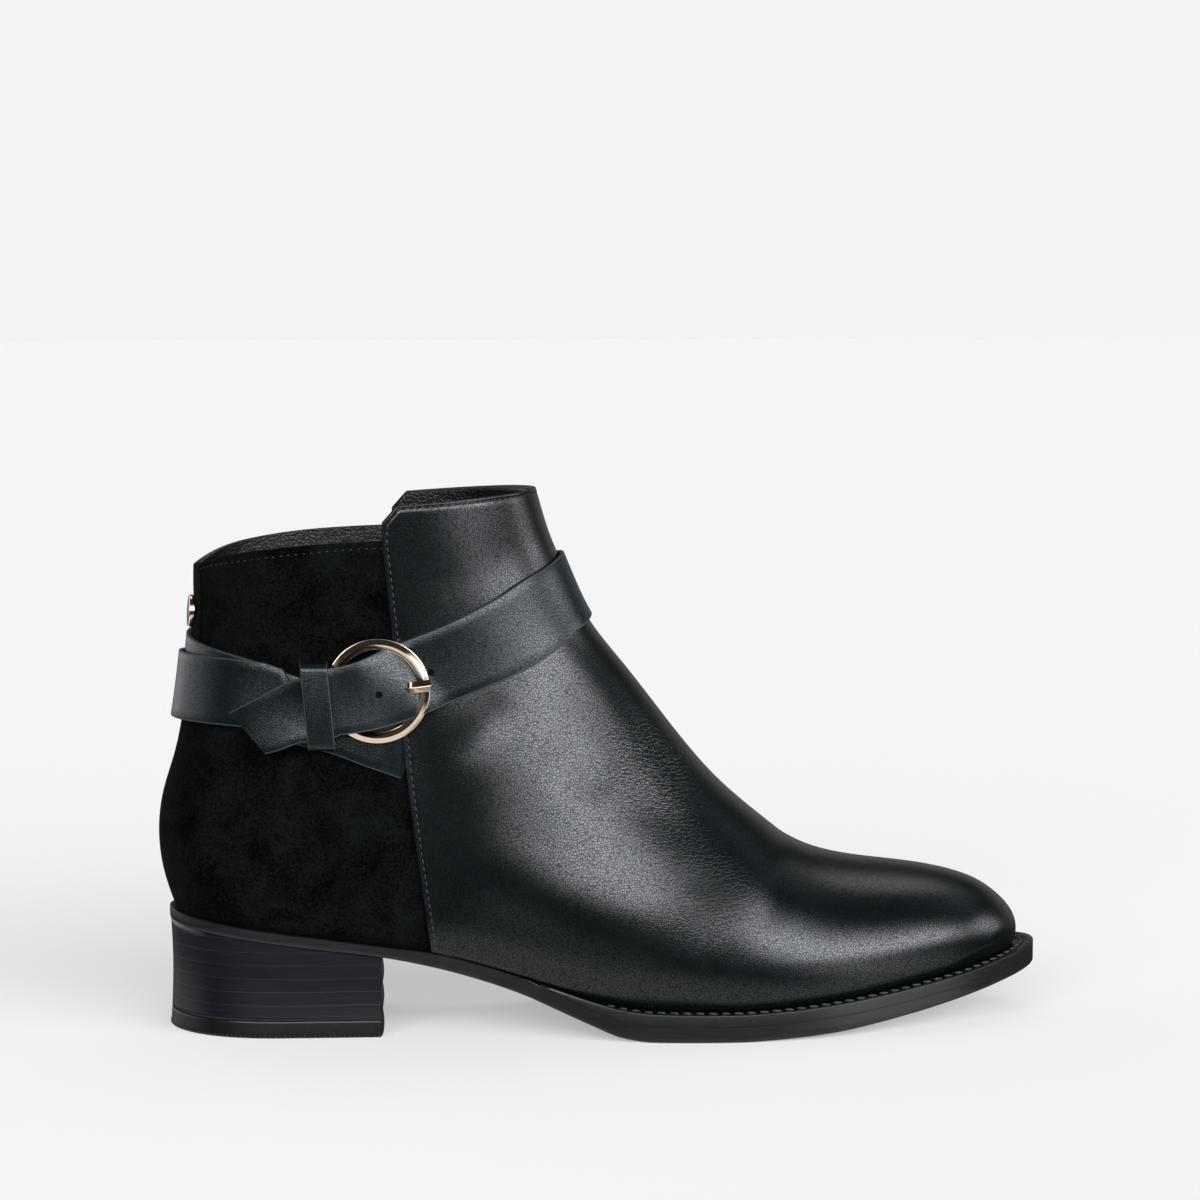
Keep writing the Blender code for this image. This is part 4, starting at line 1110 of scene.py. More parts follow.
# The edge in section, from the top face round to the tread: how far in from the margin, how much further in
# where no welt lies on it, and the share down.
SOLE_EDGE = table(
    "inset bevel down",
    [
        (3.0, 0.0, 0.0),
        (0.1, 0.15, 0.0),
        (0.1, 0.0, 0.025),
        (0.0, 0.0, 0.045),
        (0.0, 0.0, 0.16),
        (0.0, 0.0, 0.5),
        (0.03, 0.0, 0.88),
        (0.15, 0.0, 0.96),
        (0.5, 0.0, 1.0),
        (4.0, 0.0, 1.0),
    ],
)
sole_finish, sole_tree, sole_shader = finish("waxed_edge", (0.005, 0.0055, 0.0055), 0.27, specular=0.4)
sole_fibre = texture(sole_tree, "ShaderNodeTexNoise", 900.0, stretch=(0.12, 0.12, 1.6), Detail=4.0)
SOLE_COLOURS = [(0.3, (0.0055, 0.006, 0.0059)), (0.72, (0.0105, 0.011, 0.0108))]
mottle(sole_tree, sole_shader, sole_fibre.outputs["Fac"], SOLE_COLOURS)
bumps(sole_tree, sole_shader, [(sole_fibre.outputs["Fac"], 0.22, 0.08)])
sole_x = eased(HEEL_X, TOE_X, 170)
rings = []
for inset, bevel, down in zip(*SOLE_EDGE.values()):
    row = []
    for side in (LATERAL, MEDIAL):
        bare = np.clip((WELT_START - sole_x) / BARE_FADE, 0.0, 1.0)
        flat = outline(sole_x, side, margin(sole_x) - inset - bevel * bare)
        top = outsole_top(flat[:, 0])
        row.append(np.column_stack([flat, top + (tread_z(flat[:, 0]) - top) * down]))
    rings.append(row)
rings = np.array(rings)
outsole_rings = np.concatenate([rings[:, 0], rings[::-1, 1]]).transpose(1, 0, 2)
outsole = add_piece("outsole_edge", *loft(outsole_rings), sole_finish, sharp=38.0)
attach(outsole, "root")
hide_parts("outsole")

# Welt: a strip of the same waxed leather round the forepart, between the upper and the outsole.
# Its top is a narrow ledge that steps down towards the upper, where the stitches lie.
WELT_EDGE = table(
    "inset down",
    [
        (0.9, 1.0),
        (0.0, 1.0),
        (0.0, 0.9),
        (0.0, 0.12),
        (0.06, 0.03),
        (0.2, 0.0),
    ],
)
# The ledge, from its outer edge in to the upper: share of the way, and how far it falls.
WELT_LEDGE = table(
    "share fall",
    [
        (0.2, 0.95),
        (0.36, 0.98),
        (0.42, 1.25),
        (0.6, 1.3),
        (0.75, 1.3),
        (0.9, 1.3),
    ],
)
LEDGE_DROP = 1.0
LEDGE_INNER = 0.9
WELT_UNDER = 2.0
WELT_STITCH_REACH = 0.51
WELT_STITCH_BACK = 0.44
WELT_STITCH_FALL = 0.9
welt_finish, welt_tree, welt_shader = finish("welt_leather", (0.005, 0.0055, 0.0055), 0.27, specular=0.4)
welt_fibre = texture(welt_tree, "ShaderNodeTexNoise", 900.0, stretch=(0.2, 0.2, 1.6), Detail=4.0)
mottle(welt_tree, welt_shader, welt_fibre.outputs["Fac"], SOLE_COLOURS)
bumps(welt_tree, welt_shader, [(welt_fibre.outputs["Fac"], 0.25, 0.08)])
welt_x = eased(WELT_START, TOE_X, 130, ease_start=False)


def welt_line(flat, fall, down=0.0):
    """A line along the welt: below the seat by a share of the ledge's drop, then a share of the way down."""
    depth = welt_depth(flat[:, 0])
    drop = LEDGE_DROP * depth / WELT_DEPTH * fall
    return np.column_stack([flat, seat_z(flat[:, 0]) - drop - (depth - drop) * down])


welt_rings = []
stitch_points = []
for side, xs in ((LATERAL, welt_x), (MEDIAL, welt_x[-2::-1])):
    reach = margin(xs)
    ring = []
    for inset, down in zip(*WELT_EDGE.values()):
        ring.append(welt_line(outline(xs, side, reach - inset), 1.0, down))
    for share, fall in zip(*WELT_LEDGE.values()):
        ring.append(welt_line(outline(xs, side, reach * (1.0 - share) - LEDGE_INNER * share), fall))
    inner = outline(xs, side, -WELT_UNDER)
    ring.append(welt_line(inner, WELT_LEDGE["fall"][-1]))
    ring.append(welt_line(inner, 1.0, 1.0))
    welt_rings.append(np.stack(ring, axis=1))
    flat = outline(xs, side, reach * WELT_STITCH_REACH - WELT_STITCH_BACK)
    stitch_points.append(welt_line(flat, WELT_STITCH_FALL))
welt = add_piece("welt_strip", *loft(np.concatenate(welt_rings)), welt_finish, sharp=38.0)
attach(welt, "root")
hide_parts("welt")

# Welt stitching: thick dark-grey waxed thread through welt and outsole, in one row round the forepart.
# Each stitch lies at a slant on the welt's ledge, close to the upper.
WELT_STITCH_START = 134.0
welt_thread, cord_tree, cord_shader = finish("grey_waxed_thread", (0.02, 0.021, 0.022), 0.55)
cord_twist = texture(cord_tree, "ShaderNodeTexNoise", 2200.0, Detail=2.0)
WELT_THREAD_COLOURS = [(0.38, (0.005, 0.0056, 0.006)), (0.72, (0.04, 0.042, 0.043))]
mottle(cord_tree, cord_shader, cord_twist.outputs["Fac"], WELT_THREAD_COLOURS)
bumps(cord_tree, cord_shader, [(cord_twist.outputs["Fac"], 0.6, 0.12)])
stitch_run = np.concatenate(stitch_points)
stitch_run = stitch_run[stitch_run[:, 0] > WELT_STITCH_START]
upward = np.tile((0.0, 0.0, 1.0), (len(stitch_run), 1))
welt_stitches = stitch_line(
    "welt_stitches", [(stitch_run, upward)], welt_thread,
    pitch=3.9, start=1.0, length=3.1, width=0.85, height=0.8, slant=-17.0, sink=0.0,
)
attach(welt_stitches, "root")

# Heel: layers of dark-stained leather board stacked under the seat, trimmed to a slight waist and polished.
# The joints between the layers show as fine light lines, and the front face swells a little between them.
BREAST_X = 67.4
TOP_LIFT = 5.2
HEEL_GAP = 0.1
LAYER = 4.1
LAYER_WAVE = 0.6
BREAST_SWELL = 0.9
BREAST_WAVE = 0.7
BREAST_WAVES = 3.0
BREAST_STEPS = 14
HEEL_SIDE = 40
HEEL_SHAPE = table("level inset", [(0.0, 0.1), (0.3, 0.6), (0.65, 0.8), (1.0, 0.3)])
heel_inset = natural_spline(HEEL_SHAPE["level"], HEEL_SHAPE["inset"])
heel_finish, heel_tree, heel_shader = finish("stacked_heel", (0.004, 0.005, 0.007), 0.27)
heel_place = heel_tree.nodes.new("ShaderNodeTexCoord")
heel_axes = heel_tree.nodes.new("ShaderNodeSeparateXYZ")
heel_tree.links.new(heel_place.outputs["Object"], heel_axes.inputs["Vector"])
heel_wave = texture(heel_tree, "ShaderNodeTexNoise", 45.0, Detail=2.0)
heel_height = math_node(heel_tree, "MULTIPLY", heel_wave.outputs["Fac"], LAYER_WAVE * MM)
heel_height = math_node(heel_tree, "ADD", heel_height, heel_axes.outputs["Z"])
heel_share = math_node(heel_tree, "FRACT", math_node(heel_tree, "DIVIDE", heel_height, LAYER * MM), 0.0)
heel_grain = texture(heel_tree, "ShaderNodeTexNoise", 700.0, stretch=(0.1, 0.1, 2.2), Detail=4.0)
HEEL_COLOURS = [(0.3, (0.0022, 0.0028, 0.0042)), (0.75, (0.0048, 0.006, 0.008))]
JOINT_COLOUR = (0.022, 0.025, 0.028, 1.0)
JOINT_STRENGTH = 0.3
heel_streak = ramp(heel_tree, heel_grain.outputs["Fac"], HEEL_COLOURS)
heel_line = ramp(heel_tree, heel_share, [(0.46, BLACK), (0.5, WHITE), (0.54, BLACK)])
heel_mix = heel_tree.nodes.new("ShaderNodeMix")
heel_mix.data_type = "RGBA"
mix_share, mix_streak, mix_joint = (heel_mix.inputs[i] for i in (0, 6, 7))
mix_joint.default_value = JOINT_COLOUR
heel_tree.links.new(math_node(heel_tree, "MULTIPLY", heel_line, JOINT_STRENGTH), mix_share)
heel_tree.links.new(heel_streak, mix_streak)
heel_tree.links.new(heel_mix.outputs[2], heel_shader.inputs["Base Color"])
bumps(heel_tree, heel_shader, [(heel_grain.outputs["Fac"], 0.15, 0.08), (heel_line, 0.25, 0.05)])


def heel_loop(level, low, high, share, inset):
    """One level of the heel as a closed loop: lateral side, back, medial side, and the bulged breast."""
    xs = eased(HEEL_X, BREAST_X, HEEL_SIDE, ease_end=False)
    loop = []
    for side, order in ((LATERAL, xs[::-1]), (MEDIAL, xs)):
        flat = outline(order, side, margin(order) - heel_inset(level) - inset)
        flat[:, 0] = np.where(order == BREAST_X, BREAST_X - inset, flat[:, 0])
        loop.append(flat)
    across = np.linspace(0.0, 1.0, BREAST_STEPS)[1:-1]
    start, end = loop[1][-1], loop[0][0]
    breast = start + (end - start) * across[:, None]
    swell = 1.0 + BREAST_WAVE * math.cos(2.0 * math.pi * BREAST_WAVES * level)
    breast[:, 0] += BREAST_SWELL * swell * np.sin(math.pi * across) ** 0.5
    flat = np.vstack([loop[0], loop[1], breast])
    foot = low(flat[:, 0])
    return np.column_stack([flat, foot + share * (high(flat[:, 0]) - foot)])


def stack_bottom(x):
    return np.full_like(x, TOP_LIFT + HEEL_GAP)


def stack_top(x):
    return tread_z(x) - HEEL_GAP


HEEL_MIDDLE = 40.0
HEEL_LEVELS = 22
heel_split = TOP_LIFT / float(tread_z(HEEL_MIDDLE))
# The stack's rounded lower edge; its rows then run up to the top face: level, share of the height, how far in.
HEEL_FOOT = table("share inset", [(0.0, 3.0), (0.0, 0.35), (0.006, 0.1), (0.02, 0.0)])
heel_rows = [(heel_split, share, inset) for share, inset in zip(*HEEL_FOOT.values())]
for share in np.linspace(0.05, 0.985, HEEL_LEVELS):
    heel_rows.append((heel_split + (1.0 - heel_split) * share, share, 0.0))
heel_rows += [(1.0, 1.0, 0.3), (1.0, 1.0, 3.0)]
heel_loops = [heel_loop(level, stack_bottom, stack_top, share, inset) for level, share, inset in heel_rows]
heel = add_piece("heel_stack", *loft(np.array(heel_loops)), heel_finish, sharp=40.0)
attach(heel, "root")
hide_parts("heel_block")

# Top lift: the black rubber wearing piece nailed under the heel, moulded in one thickness.
# Small teeth stand out in a row round its lower edge.
rubber, rubber_tree, rubber_shader = finish("lift_rubber", (0.005, 0.0053, 0.0055), 0.28, specular=0.28)
rubber_grain = texture(rubber_tree, "ShaderNodeTexNoise", 1500.0, Detail=3.0)
RUBBER_COLOURS = [(0.3, (0.0032, 0.0034, 0.0036)), (0.7, (0.006, 0.0063, 0.0066))]
mottle(rubber_tree, rubber_shader, rubber_grain.outputs["Fac"], RUBBER_COLOURS)
bumps(rubber_tree, rubber_shader, [(rubber_grain.outputs["Fac"], 0.3, 0.08)])


def flat_loop(level, z, inset):
    """A loop of the heel's outline that lies flat at one height."""

    def height(x):
        return np.full_like(x, z)

    return heel_loop(level, height, height, 0.0, inset)


# The lift in section, from its tread to its top face: height, and how far in.
LIFT_EDGE = table(
    "z inset",
    [
        (0.0, 4.0),
        (0.0, 0.5),
        (0.12, 0.2),
        (0.4, 0.04),
        (0.9, 0.0),
        (1.3, 0.0),
        (4.6, 0.0),
        (4.95, 0.02),
        (5.12, 0.1),
        (TOP_LIFT, 0.3),
        (TOP_LIFT, 4.0),
    ],
)
lift_loops = [flat_loop(heel_split * z / TOP_LIFT, z, inset) for z, inset in zip(*LIFT_EDGE.values())]
top_lift = add_piece("top_lift_rubber", *loft(np.array(lift_loops)), rubber, sharp=40.0)
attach(top_lift, "root")
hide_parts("top_lift")

TEETH_Z = 0.55
TEETH_IN = 0.12
TEETH_PITCH = 1.5
lift_edge = flat_loop(0.0, TEETH_Z, TEETH_IN)[: 2 * HEEL_SIDE]
lift_edge = lift_edge[np.concatenate([[True], np.hypot(*np.diff(lift_edge[:, :2], axis=0).T) > 0.001])]
edge_run = np.gradient(lift_edge[:, :2], axis=0)
edge_out = np.column_stack([edge_run[:, 1], -edge_run[:, 0], np.zeros(len(edge_run))])
edge_out /= np.linalg.norm(edge_out, axis=1)[:, None]
if edge_out[0, 1] > 0.0:
    edge_out = -edge_out
serrations = stitch_line(
    "lift_serrations", [(lift_edge, edge_out)], rubber,
    pitch=TEETH_PITCH, start=0.5, length=0.9, width=1.0, height=0.7, slant=0.0, sink=-0.05,
)
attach(serrations, "root")

# Wrap strap: a long band of smoother, greyer calf with raw edges, sewn in at the outer side seam and wrapped
# round the ankle. It crosses the instep, comes up through the round frame and ends in an oblique tip. Two of
# its punched holes show, each with a near-black disc just behind it as painted shade.
STRAP_THICK = 1.4
STRAP_TWIST = 1.4
TWIST_TURN = 459.0
TWIST_REACH = 7.0
STRAP_WAVE = 0.06
STRAP_WAVE_RATE = 0.21
WRAP_PATH = table(
    "turn z lift lean width",
    [
        (84.0, 82.4, -1.7, -1.0, 20.5),
        (92.5, 88.2, -1.5, -1.6, 20.5),
        (98.6, 91.9, 0.1, -2.0, 20.5),
        (112.0, 97.8, 0.3, 0.0, 20.5),
        (122.0, 101.0, 0.3, 0.0, 20.5),
        (138.0, 105.8, 0.3, 0.0, 20.5),
        (180.0, 111.0, 0.3, 0.0, 20.5),
        (225.0, 114.2, 0.3, 0.0, 20.5),
        (243.0, 116.2, 0.5, 0.0, 20.5),
        (262.0, 118.6, 1.6, 0.0, 20.5),
        (300.0, 124.6, 1.6, 0.0, 20.5),
        (335.0, 132.6, 1.6, 0.0, 20.5),
        (360.0, 134.6, 1.6, 0.0, 20.0),
        (392.0, 130.6, 1.6, 0.0, 19.2),
        (409.0, 125.0, 1.6, 0.0, 19.0),
        (427.0, 118.4, 1.6, 0.0, 19.0),
        (443.0, 112.6, 1.6, 0.0, 19.5),
        (447.0, 111.1, 2.2, 0.0, 20.1),
        (453.0, 108.6, 4.3, 0.0, 20.5),
        (459.0, 106.4, 6.2, 0.0, 20.5),
        (465.0, 104.8, 7.7, 0.0, 20.5),
        (470.0, 104.0, 8.5, 0.0, 20.5),
    ],
)
strap_leather, strap_tree, strap_shader = finish("strap_calf", (0.0013, 0.0037, 0.0042), 0.36)
strap_pebble, strap_cloud = calf_grain(strap_tree, strap_shader, 0.8, 0.2, 0.9, 0.21)
STRAP_COLOURS = [(0.3, (0.0008, 0.0028, 0.0032)), (0.72, (0.0018, 0.0046, 0.0053))]
mottle(strap_tree, strap_shader, strap_cloud.outputs["Fac"], STRAP_COLOURS)
bumps(strap_tree, strap_shader, [(strap_cloud.outputs["Fac"], 0.15, 0.4), (strap_pebble, 1.0, 0.018)])


def front_x(z):
    return np.interp(z, front_path[:, 1], front_path[:, 0])


def ankle_points(turn, z, lift):
    """Points round the ankle, lifted off the skin: 0 front, 90 lateral, 180 back, 270 medial."""
    turn = np.mod(turn, 360.0)
    angle = np.radians(np.minimum(turn, 360.0 - turn))
    rear = back_x(z)
    x = rear + (front_x(z) - rear) * (0.5 + 0.5 * np.cos(angle))
    lateral = turn < 180.0
    place = np.where(
        lateral[..., None],
        skin(x, z, LATERAL, lift),
        skin(x, z, MEDIAL, lift),
    )
    place[..., 1] = np.where((turn == 0.0) | (turn == 180.0), 0.0, place[..., 1])
    return place


def ankle_place(turn, z, lift):
    """One point round the ankle, and the outward direction there."""
    low, high = ankle_points(np.full(2, turn), np.full(2, z), lift + np.array([0.0, 1.0]))
    return low, high - low


# A strap's cross cut has this many points on each face and these angles round each edge.
CUT_FACE = 9
CUT_EDGE = np.radians([-50.0, -15.0, 15.0, 50.0])
CUT_HALF = CUT_FACE + len(CUT_EDGE)
EDGE_SHARE = 0.32
EDGE_FULL = 1.12


def strap_cut(width, thick):
    """Offsets across a strap and through it, round its cross cut from the lower inner corner."""
    radius = EDGE_SHARE * thick
    half = 0.5 * width - radius
    across = []
    through = []
    for end, face in ((1.0, 0.0), (-1.0, thick)):
        across += list(np.linspace(-end, end, CUT_FACE) * half)
        through += [face] * CUT_FACE
        across += list(end * (half + radius * np.cos(CUT_EDGE)))
        through += list(0.5 * thick * (1.0 + end * EDGE_FULL * np.sin(CUT_EDGE)))
    return np.array(across), np.clip(np.array(through), 0.0, thick)


def strap_rings(path, stations):
    """Sections of a strap along its path round the ankle."""
    turns = np.linspace(path["turn"][0], path["turn"][-1], stations)
    height = held_spline(path["turn"], path["z"])
    lift = held_spline(path["turn"], path["lift"])
    lean = held_spline(path["turn"], path["lean"])
    width_at = held_spline(path["turn"], path["width"])
    before = ankle_points(turns - 1.0, height(turns - 1.0), np.zeros(stations))
    after = ankle_points(turns + 1.0, height(turns + 1.0), np.zeros(stations))
    run = np.hypot(after[:, 0] - before[:, 0], after[:, 1] - before[:, 1])
    slope = np.arctan2(after[:, 2] - before[:, 2], run)
    rings = []
    for k, turn in enumerate(turns):
        width = float(width_at(turn))
        across, through = strap_cut(width, STRAP_THICK)
        cut = float(lean(turn)) - 0.5 * width * math.sin(slope[k]) / (0.5 * run[k])
        share = across / (0.5 * width)
        rise = 0.5 * width * math.cos(slope[k])
        soft = STRAP_WAVE * math.sin(turn * STRAP_WAVE_RATE) * share
        soft = soft + STRAP_TWIST * share * math.exp(-(((turn - TWIST_TURN) / TWIST_REACH) ** 2))
        out = lift(turn) + through + soft
        rings.append(ankle_points(turn + cut * share, height(turn) + rise * share, out))
    return np.array(rings)


def strap_piece(name, rings):
    """A strap from its sections, with the raw finish on its two edges and its ends."""
    points, faces = loft(rings)
    raw = []
    for face, corners in enumerate(faces):
        if len(corners) > 4 or corners[0] % CUT_HALF >= CUT_FACE - 1:
            raw.append(face)
    return add_piece(name, points, faces, strap_leather, sharp=55.0, second=(cut_edge, raw))


TAIL_CURL = 0.5
TAIL_CURL_TURN = 0.9 * math.pi
TAIL_TWIST = 0.8
TAIL_TWIST_RATE = 1.6
# The strap's end, from the frame's bar through the keeper to the oblique tip: its lower and upper corner.
TAIL = table(
    "x_low z_low x_high z_high lift",
    [
        (50.0, 91.6, 46.4, 111.4, 7.9),
        (44.4, 91.2, 41.4, 109.8, 6.6),
        (39.2, 89.0, 33.0, 104.6, 5.3),
        (34.6, 87.4, 24.6, 99.4, 4.3),
    ],
)


def tail_rings(last_ring, last_lift, stations):
    """Sections of the strap's end beyond the last section of its path."""
    rows = np.column_stack(list(TAIL.values()))
    low = last_ring[CUT_HALF + CUT_FACE + 2]
    high = last_ring[CUT_FACE + 1]
    rows = np.vstack([[low[0], low[2], high[0], high[2], last_lift], rows])
    knots = np.concatenate([[0.0], np.cumsum(np.hypot(*np.diff(rows[:, :2], axis=0).T))])
    at = np.linspace(0.0, knots[-1], stations + 1)[1:]
    x_low, z_low, x_high, z_high, lift = (natural_spline(knots, column)(at) for column in rows.T)
    rings = []
    for k in range(stations):
        width = math.hypot(x_high[k] - x_low[k], z_high[k] - z_low[k])
        across, through = strap_cut(width, STRAP_THICK)
        share = 0.5 + across / width
        off_middle = 2.0 * share - 1.0
        curl = TAIL_CURL * math.sin(TAIL_CURL_TURN * k / stations) * off_middle**2
        curl = curl - TAIL_TWIST * off_middle * min(1.0, TAIL_TWIST_RATE * k / stations)
        x = x_low[k] + (x_high[k] - x_low[k]) * share
        z = z_low[k] + (z_high[k] - z_low[k]) * share
        rings.append(skin(x, z, LATERAL, lift[k] + through + curl))
    return np.array(rings)


wrap_rings = strap_rings(WRAP_PATH, 250)
wrap_rings = np.concatenate([wrap_rings, tail_rings(wrap_rings[-1], WRAP_PATH["lift"][-1], 34)])
wrap_strap = strap_piece("wrap_strap_calf", wrap_rings)

# Two punched holes of the row that the prong uses: turn and height of each.
HOLES = table("turn z", [(443.3, 111.9), (458.4, 105.8)])
HOLE_RADIUS = 1.05
HOLE_SIDES = 24
HOLE_SHARP = 35.0
# Depth and size of the near-black disc behind each hole, painted as the shade inside it.
SHADE_DISC_DEPTH = 0.62
SHADE_DISC_DEPTH_FIT = 0.98
PUNCH_LONG = 5.0
wrap_lift = held_spline(WRAP_PATH["turn"], WRAP_PATH["lift"])
hole_points = []
hole_faces = []
shadow_points = []
for turn, z in zip(*HOLES.values()):
    base, axis = ankle_place(turn, z, float(wrap_lift(turn)))
    first_axis = np.cross(axis, (0.0, 0.0, 1.0))
    first_axis /= np.linalg.norm(first_axis)
    second_axis = np.cross(axis, first_axis)
    spokes = [
        HOLE_RADIUS * (math.cos(a) * first_axis + math.sin(a) * second_axis)
        for a in np.linspace(0.0, 2.0 * math.pi, HOLE_SIDES, endpoint=False)
    ]
    ends = (base - axis, base + axis * PUNCH_LONG)
    rod_points, rod_faces = loft(np.array([[end + spoke for spoke in spokes] for end in ends]))
    hole_faces += [tuple(i + len(hole_points) for i in face) for face in rod_faces]
    hole_points += list(rod_points)
    shadow_points += [base + axis * SHADE_DISC_DEPTH + SHADE_DISC_DEPTH_FIT * spoke for spoke in spokes]
punch = add_piece("punch", hole_points, hole_faces, cut_edge)
cut = wrap_strap.modifiers.new("holes", "BOOLEAN")
cut.operation = "DIFFERENCE"
cut.object = punch
cut.material_mode = "TRANSFER"
settle(wrap_strap)
wrap_strap.data.set_sharp_from_angle(angle=math.radians(HOLE_SHARP))
bpy.data.objects.remove(punch, do_unlink=True)
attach(wrap_strap, "root")
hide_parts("wrap_strap")

# Near-black discs just behind the two punched holes: painted shade inside the holes.
shadow_faces = [tuple(range(first, first + HOLE_SIDES)) for first in (0, HOLE_SIDES)]
hole_shade_discs = add_piece(
    "strap_hole_shade_discs", shadow_points, shadow_faces, painted_hole_shade, outward=lambda face: face.normal.y > 0.0
)
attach(hole_shade_discs, "root")

# Buckle strap: the shorter band of the same calf, sewn in at the inner side seam and laid round the heel.
# Its end is narrowed to a tongue that comes up through the frame and folds back over its rear bar.
BUCKLE_PATH = table(
    "turn z lift lean width",
    [
        (114.5, 99.4, 2.3, 0.0, 11.5),
        (125.4, 100.1, 2.1, 0.0, 11.5),
        (128.8, 104.7, 2.1, 0.0, 20.5),
        (150.0, 105.6, 2.1, 0.0, 20.5),
        (180.0, 105.4, 2.1, 0.0, 20.5),
        (215.0, 102.6, 2.1, 0.0, 20.5),
        (238.0, 98.8, 2.4, 0.0, 20.5),
        (252.0, 95.8, 2.3, 0.0, 20.5),
        (266.6, 92.8, 0.6, 1.6, 20.5),
    ],
)
RING_X = 66.9
RING_Z = 106.6
RING_LIFT = 5.0
RING_OUTER = 15.8
RING_INNER = 12.4
RING_THICK = 2.4
FOLD_WIDTH = 9.0
FOLD_THICK = 0.8
FOLD_START = 1.4
FOLD_TAIL = 5.0
buckle_origin = skin(np.array(RING_X), np.array(RING_Z), LATERAL, 0.0)
buckle_out = skin(np.array(RING_X), np.array(RING_Z), LATERAL, 1.0) - buckle_origin
buckle_up = np.array([0.0, 0.0, 1.0]) - buckle_out * buckle_out[2]
buckle_up /= np.linalg.norm(buckle_up)
buckle_ahead = np.cross(buckle_up, buckle_out)
if buckle_ahead[0] < 0.0:
    buckle_ahead = -buckle_ahead


def on_buckle(ahead, up, out):
    """Points in the buckle's plane: along the strap, up, and outward."""
    ahead, up, out = np.broadcast_arrays(ahead, up, out)
    place = ahead[..., None] * buckle_ahead + up[..., None] * buckle_up + out[..., None] * buckle_out
    return buckle_origin + place


buckle_rings = list(strap_rings(BUCKLE_PATH, 130)[::-1])
fold_reach = 0.5 * RING_THICK + GAP + 0.5 * FOLD_THICK
fold_turn_at = -RING_INNER + GAP
fold_path = [(-RING_OUTER - FOLD_START, -fold_reach, 90.0), (fold_turn_at, -fold_reach, 90.0)]
for degrees in range(75, -76, -15):
    radians = math.radians(degrees)
    ahead = fold_turn_at + fold_reach * math.cos(radians)
    fold_path.append((ahead, -fold_reach * math.sin(radians), degrees))
fold_path += [(fold_turn_at, fold_reach, -90.0), (fold_turn_at - FOLD_TAIL, fold_reach, -90.0)]
for ahead, out, degrees in fold_path:
    radians = math.radians(degrees)
    across, through = strap_cut(FOLD_WIDTH, FOLD_THICK)
    off = through - 0.5 * FOLD_THICK
    out = RING_LIFT + out - math.sin(radians) * off
    buckle_rings.append(on_buckle(ahead + math.cos(radians) * off, across, out))
buckle_strap = strap_piece("buckle_strap_calf", np.array(buckle_rings))
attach(buckle_strap, "root")
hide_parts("buckle_strap")

# Keeper: a narrow loop of the strap leather, split thinner, with raw edges, beside the frame.
# The end of the wrap strap is pushed through it and held down.
KEEPER_Z = 102.5
KEEPER_LEFT = -22.1
KEEPER_RIGHT = -13.9
KEEPER_LEAN = -0.094
KEEPER_HALF = 12.3
KEEPER_THICK = 0.9
KEEPER_FOOT = 2.4
KEEPER_TOP = 10.6
KEEPER_ROUND = 1.6
KEEPER_CROWN = 0.25
keeper_path = [(KEEPER_HALF, KEEPER_FOOT, 0.0), (KEEPER_HALF, KEEPER_TOP - KEEPER_ROUND, 0.0)]
for degrees in range(10, 91, 10):
    radians = math.radians(degrees)
    up = KEEPER_HALF - KEEPER_ROUND + KEEPER_ROUND * math.cos(radians)
    out = KEEPER_TOP - KEEPER_ROUND + KEEPER_ROUND * math.sin(radians)
    keeper_path.append((up, out, float(degrees)))
for share in np.linspace(0.9, 0.0, 9):
    up = share * (KEEPER_HALF - KEEPER_ROUND)
    keeper_path.append((up, KEEPER_TOP + KEEPER_CROWN * (1.0 - share * share), 90.0))
keeper_path += [(-up, out, 180.0 - degrees) for up, out, degrees in reversed(keeper_path[:-1])]
keeper_rings = []
for up, out, degrees in keeper_path:
    radians = math.radians(degrees)
    across, through = strap_cut(KEEPER_RIGHT - KEEPER_LEFT, KEEPER_THICK)
    ahead = 0.5 * (KEEPER_LEFT + KEEPER_RIGHT) + across + KEEPER_LEAN * up
    height = KEEPER_Z - RING_Z + up + math.cos(radians) * through
    keeper_rings.append(on_buckle(ahead, height, out + math.sin(radians) * through))
keeper = strap_piece("keeper_loop", np.array(keeper_rings))
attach(keeper, "root")
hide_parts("keeper")

# Buckle frame: a round ring of zinc, die cast and plated pale gold, with two sloping facets and narrow rims.
# The buckle strap is folded round its rear bar, and the prong lies in a shallow notch of its front bar.
gold, gold_tree, gold_shader = finish("pale_gold", (0.86, 0.68, 0.5), 0.1, metallic=1.0)
gold_scuff = texture(gold_tree, "ShaderNodeTexNoise", 400.0, Detail=4.0, Roughness=0.7)
gold_gloss = spread(gold_tree, gold_scuff.outputs["Fac"], (0.0, 1.0), (0.07, 0.14))
gold_tree.links.new(gold_gloss, gold_shader.inputs["Roughness"])
GOLD_COLOURS = [(0.3, (0.82, 0.64, 0.47)), (0.7, (0.9, 0.71, 0.54))]
mottle(gold_tree, gold_shader, gold_scuff.outputs["Fac"], GOLD_COLOURS)
RING_RIDGE = 0.96
RING_SECTION = table(
    "radius height",
    [
        (RING_INNER, -1.0),
        (RING_INNER, -0.55),
        (RING_INNER + 0.07, -0.42),
        (RING_INNER + 0.2, -0.36),
        (14.03, 0.92),
        (14.1, RING_RIDGE),
        (14.17, 0.92),
        (RING_OUTER - 0.2, -0.36),
        (RING_OUTER - 0.07, -0.42),
        (RING_OUTER, -0.55),
        (RING_OUTER, -1.0),
        (RING_OUTER - 0.2, -0.5 * RING_THICK),
        (RING_INNER + 0.2, -0.5 * RING_THICK),
    ],
)
NOTCH_HALF = 7.5
NOTCH_EDGE = 0.2
NOTCH_DEPTH = 0.56
NOTCH_TURN = 6.5
notch_edges = [end + step for end in (-NOTCH_HALF, NOTCH_HALF) for step in (-NOTCH_EDGE, NOTCH_EDGE)]
ring_turns = np.concatenate([np.linspace(-180.0, 176.0, 90), NOTCH_TURN + np.array(notch_edges)])
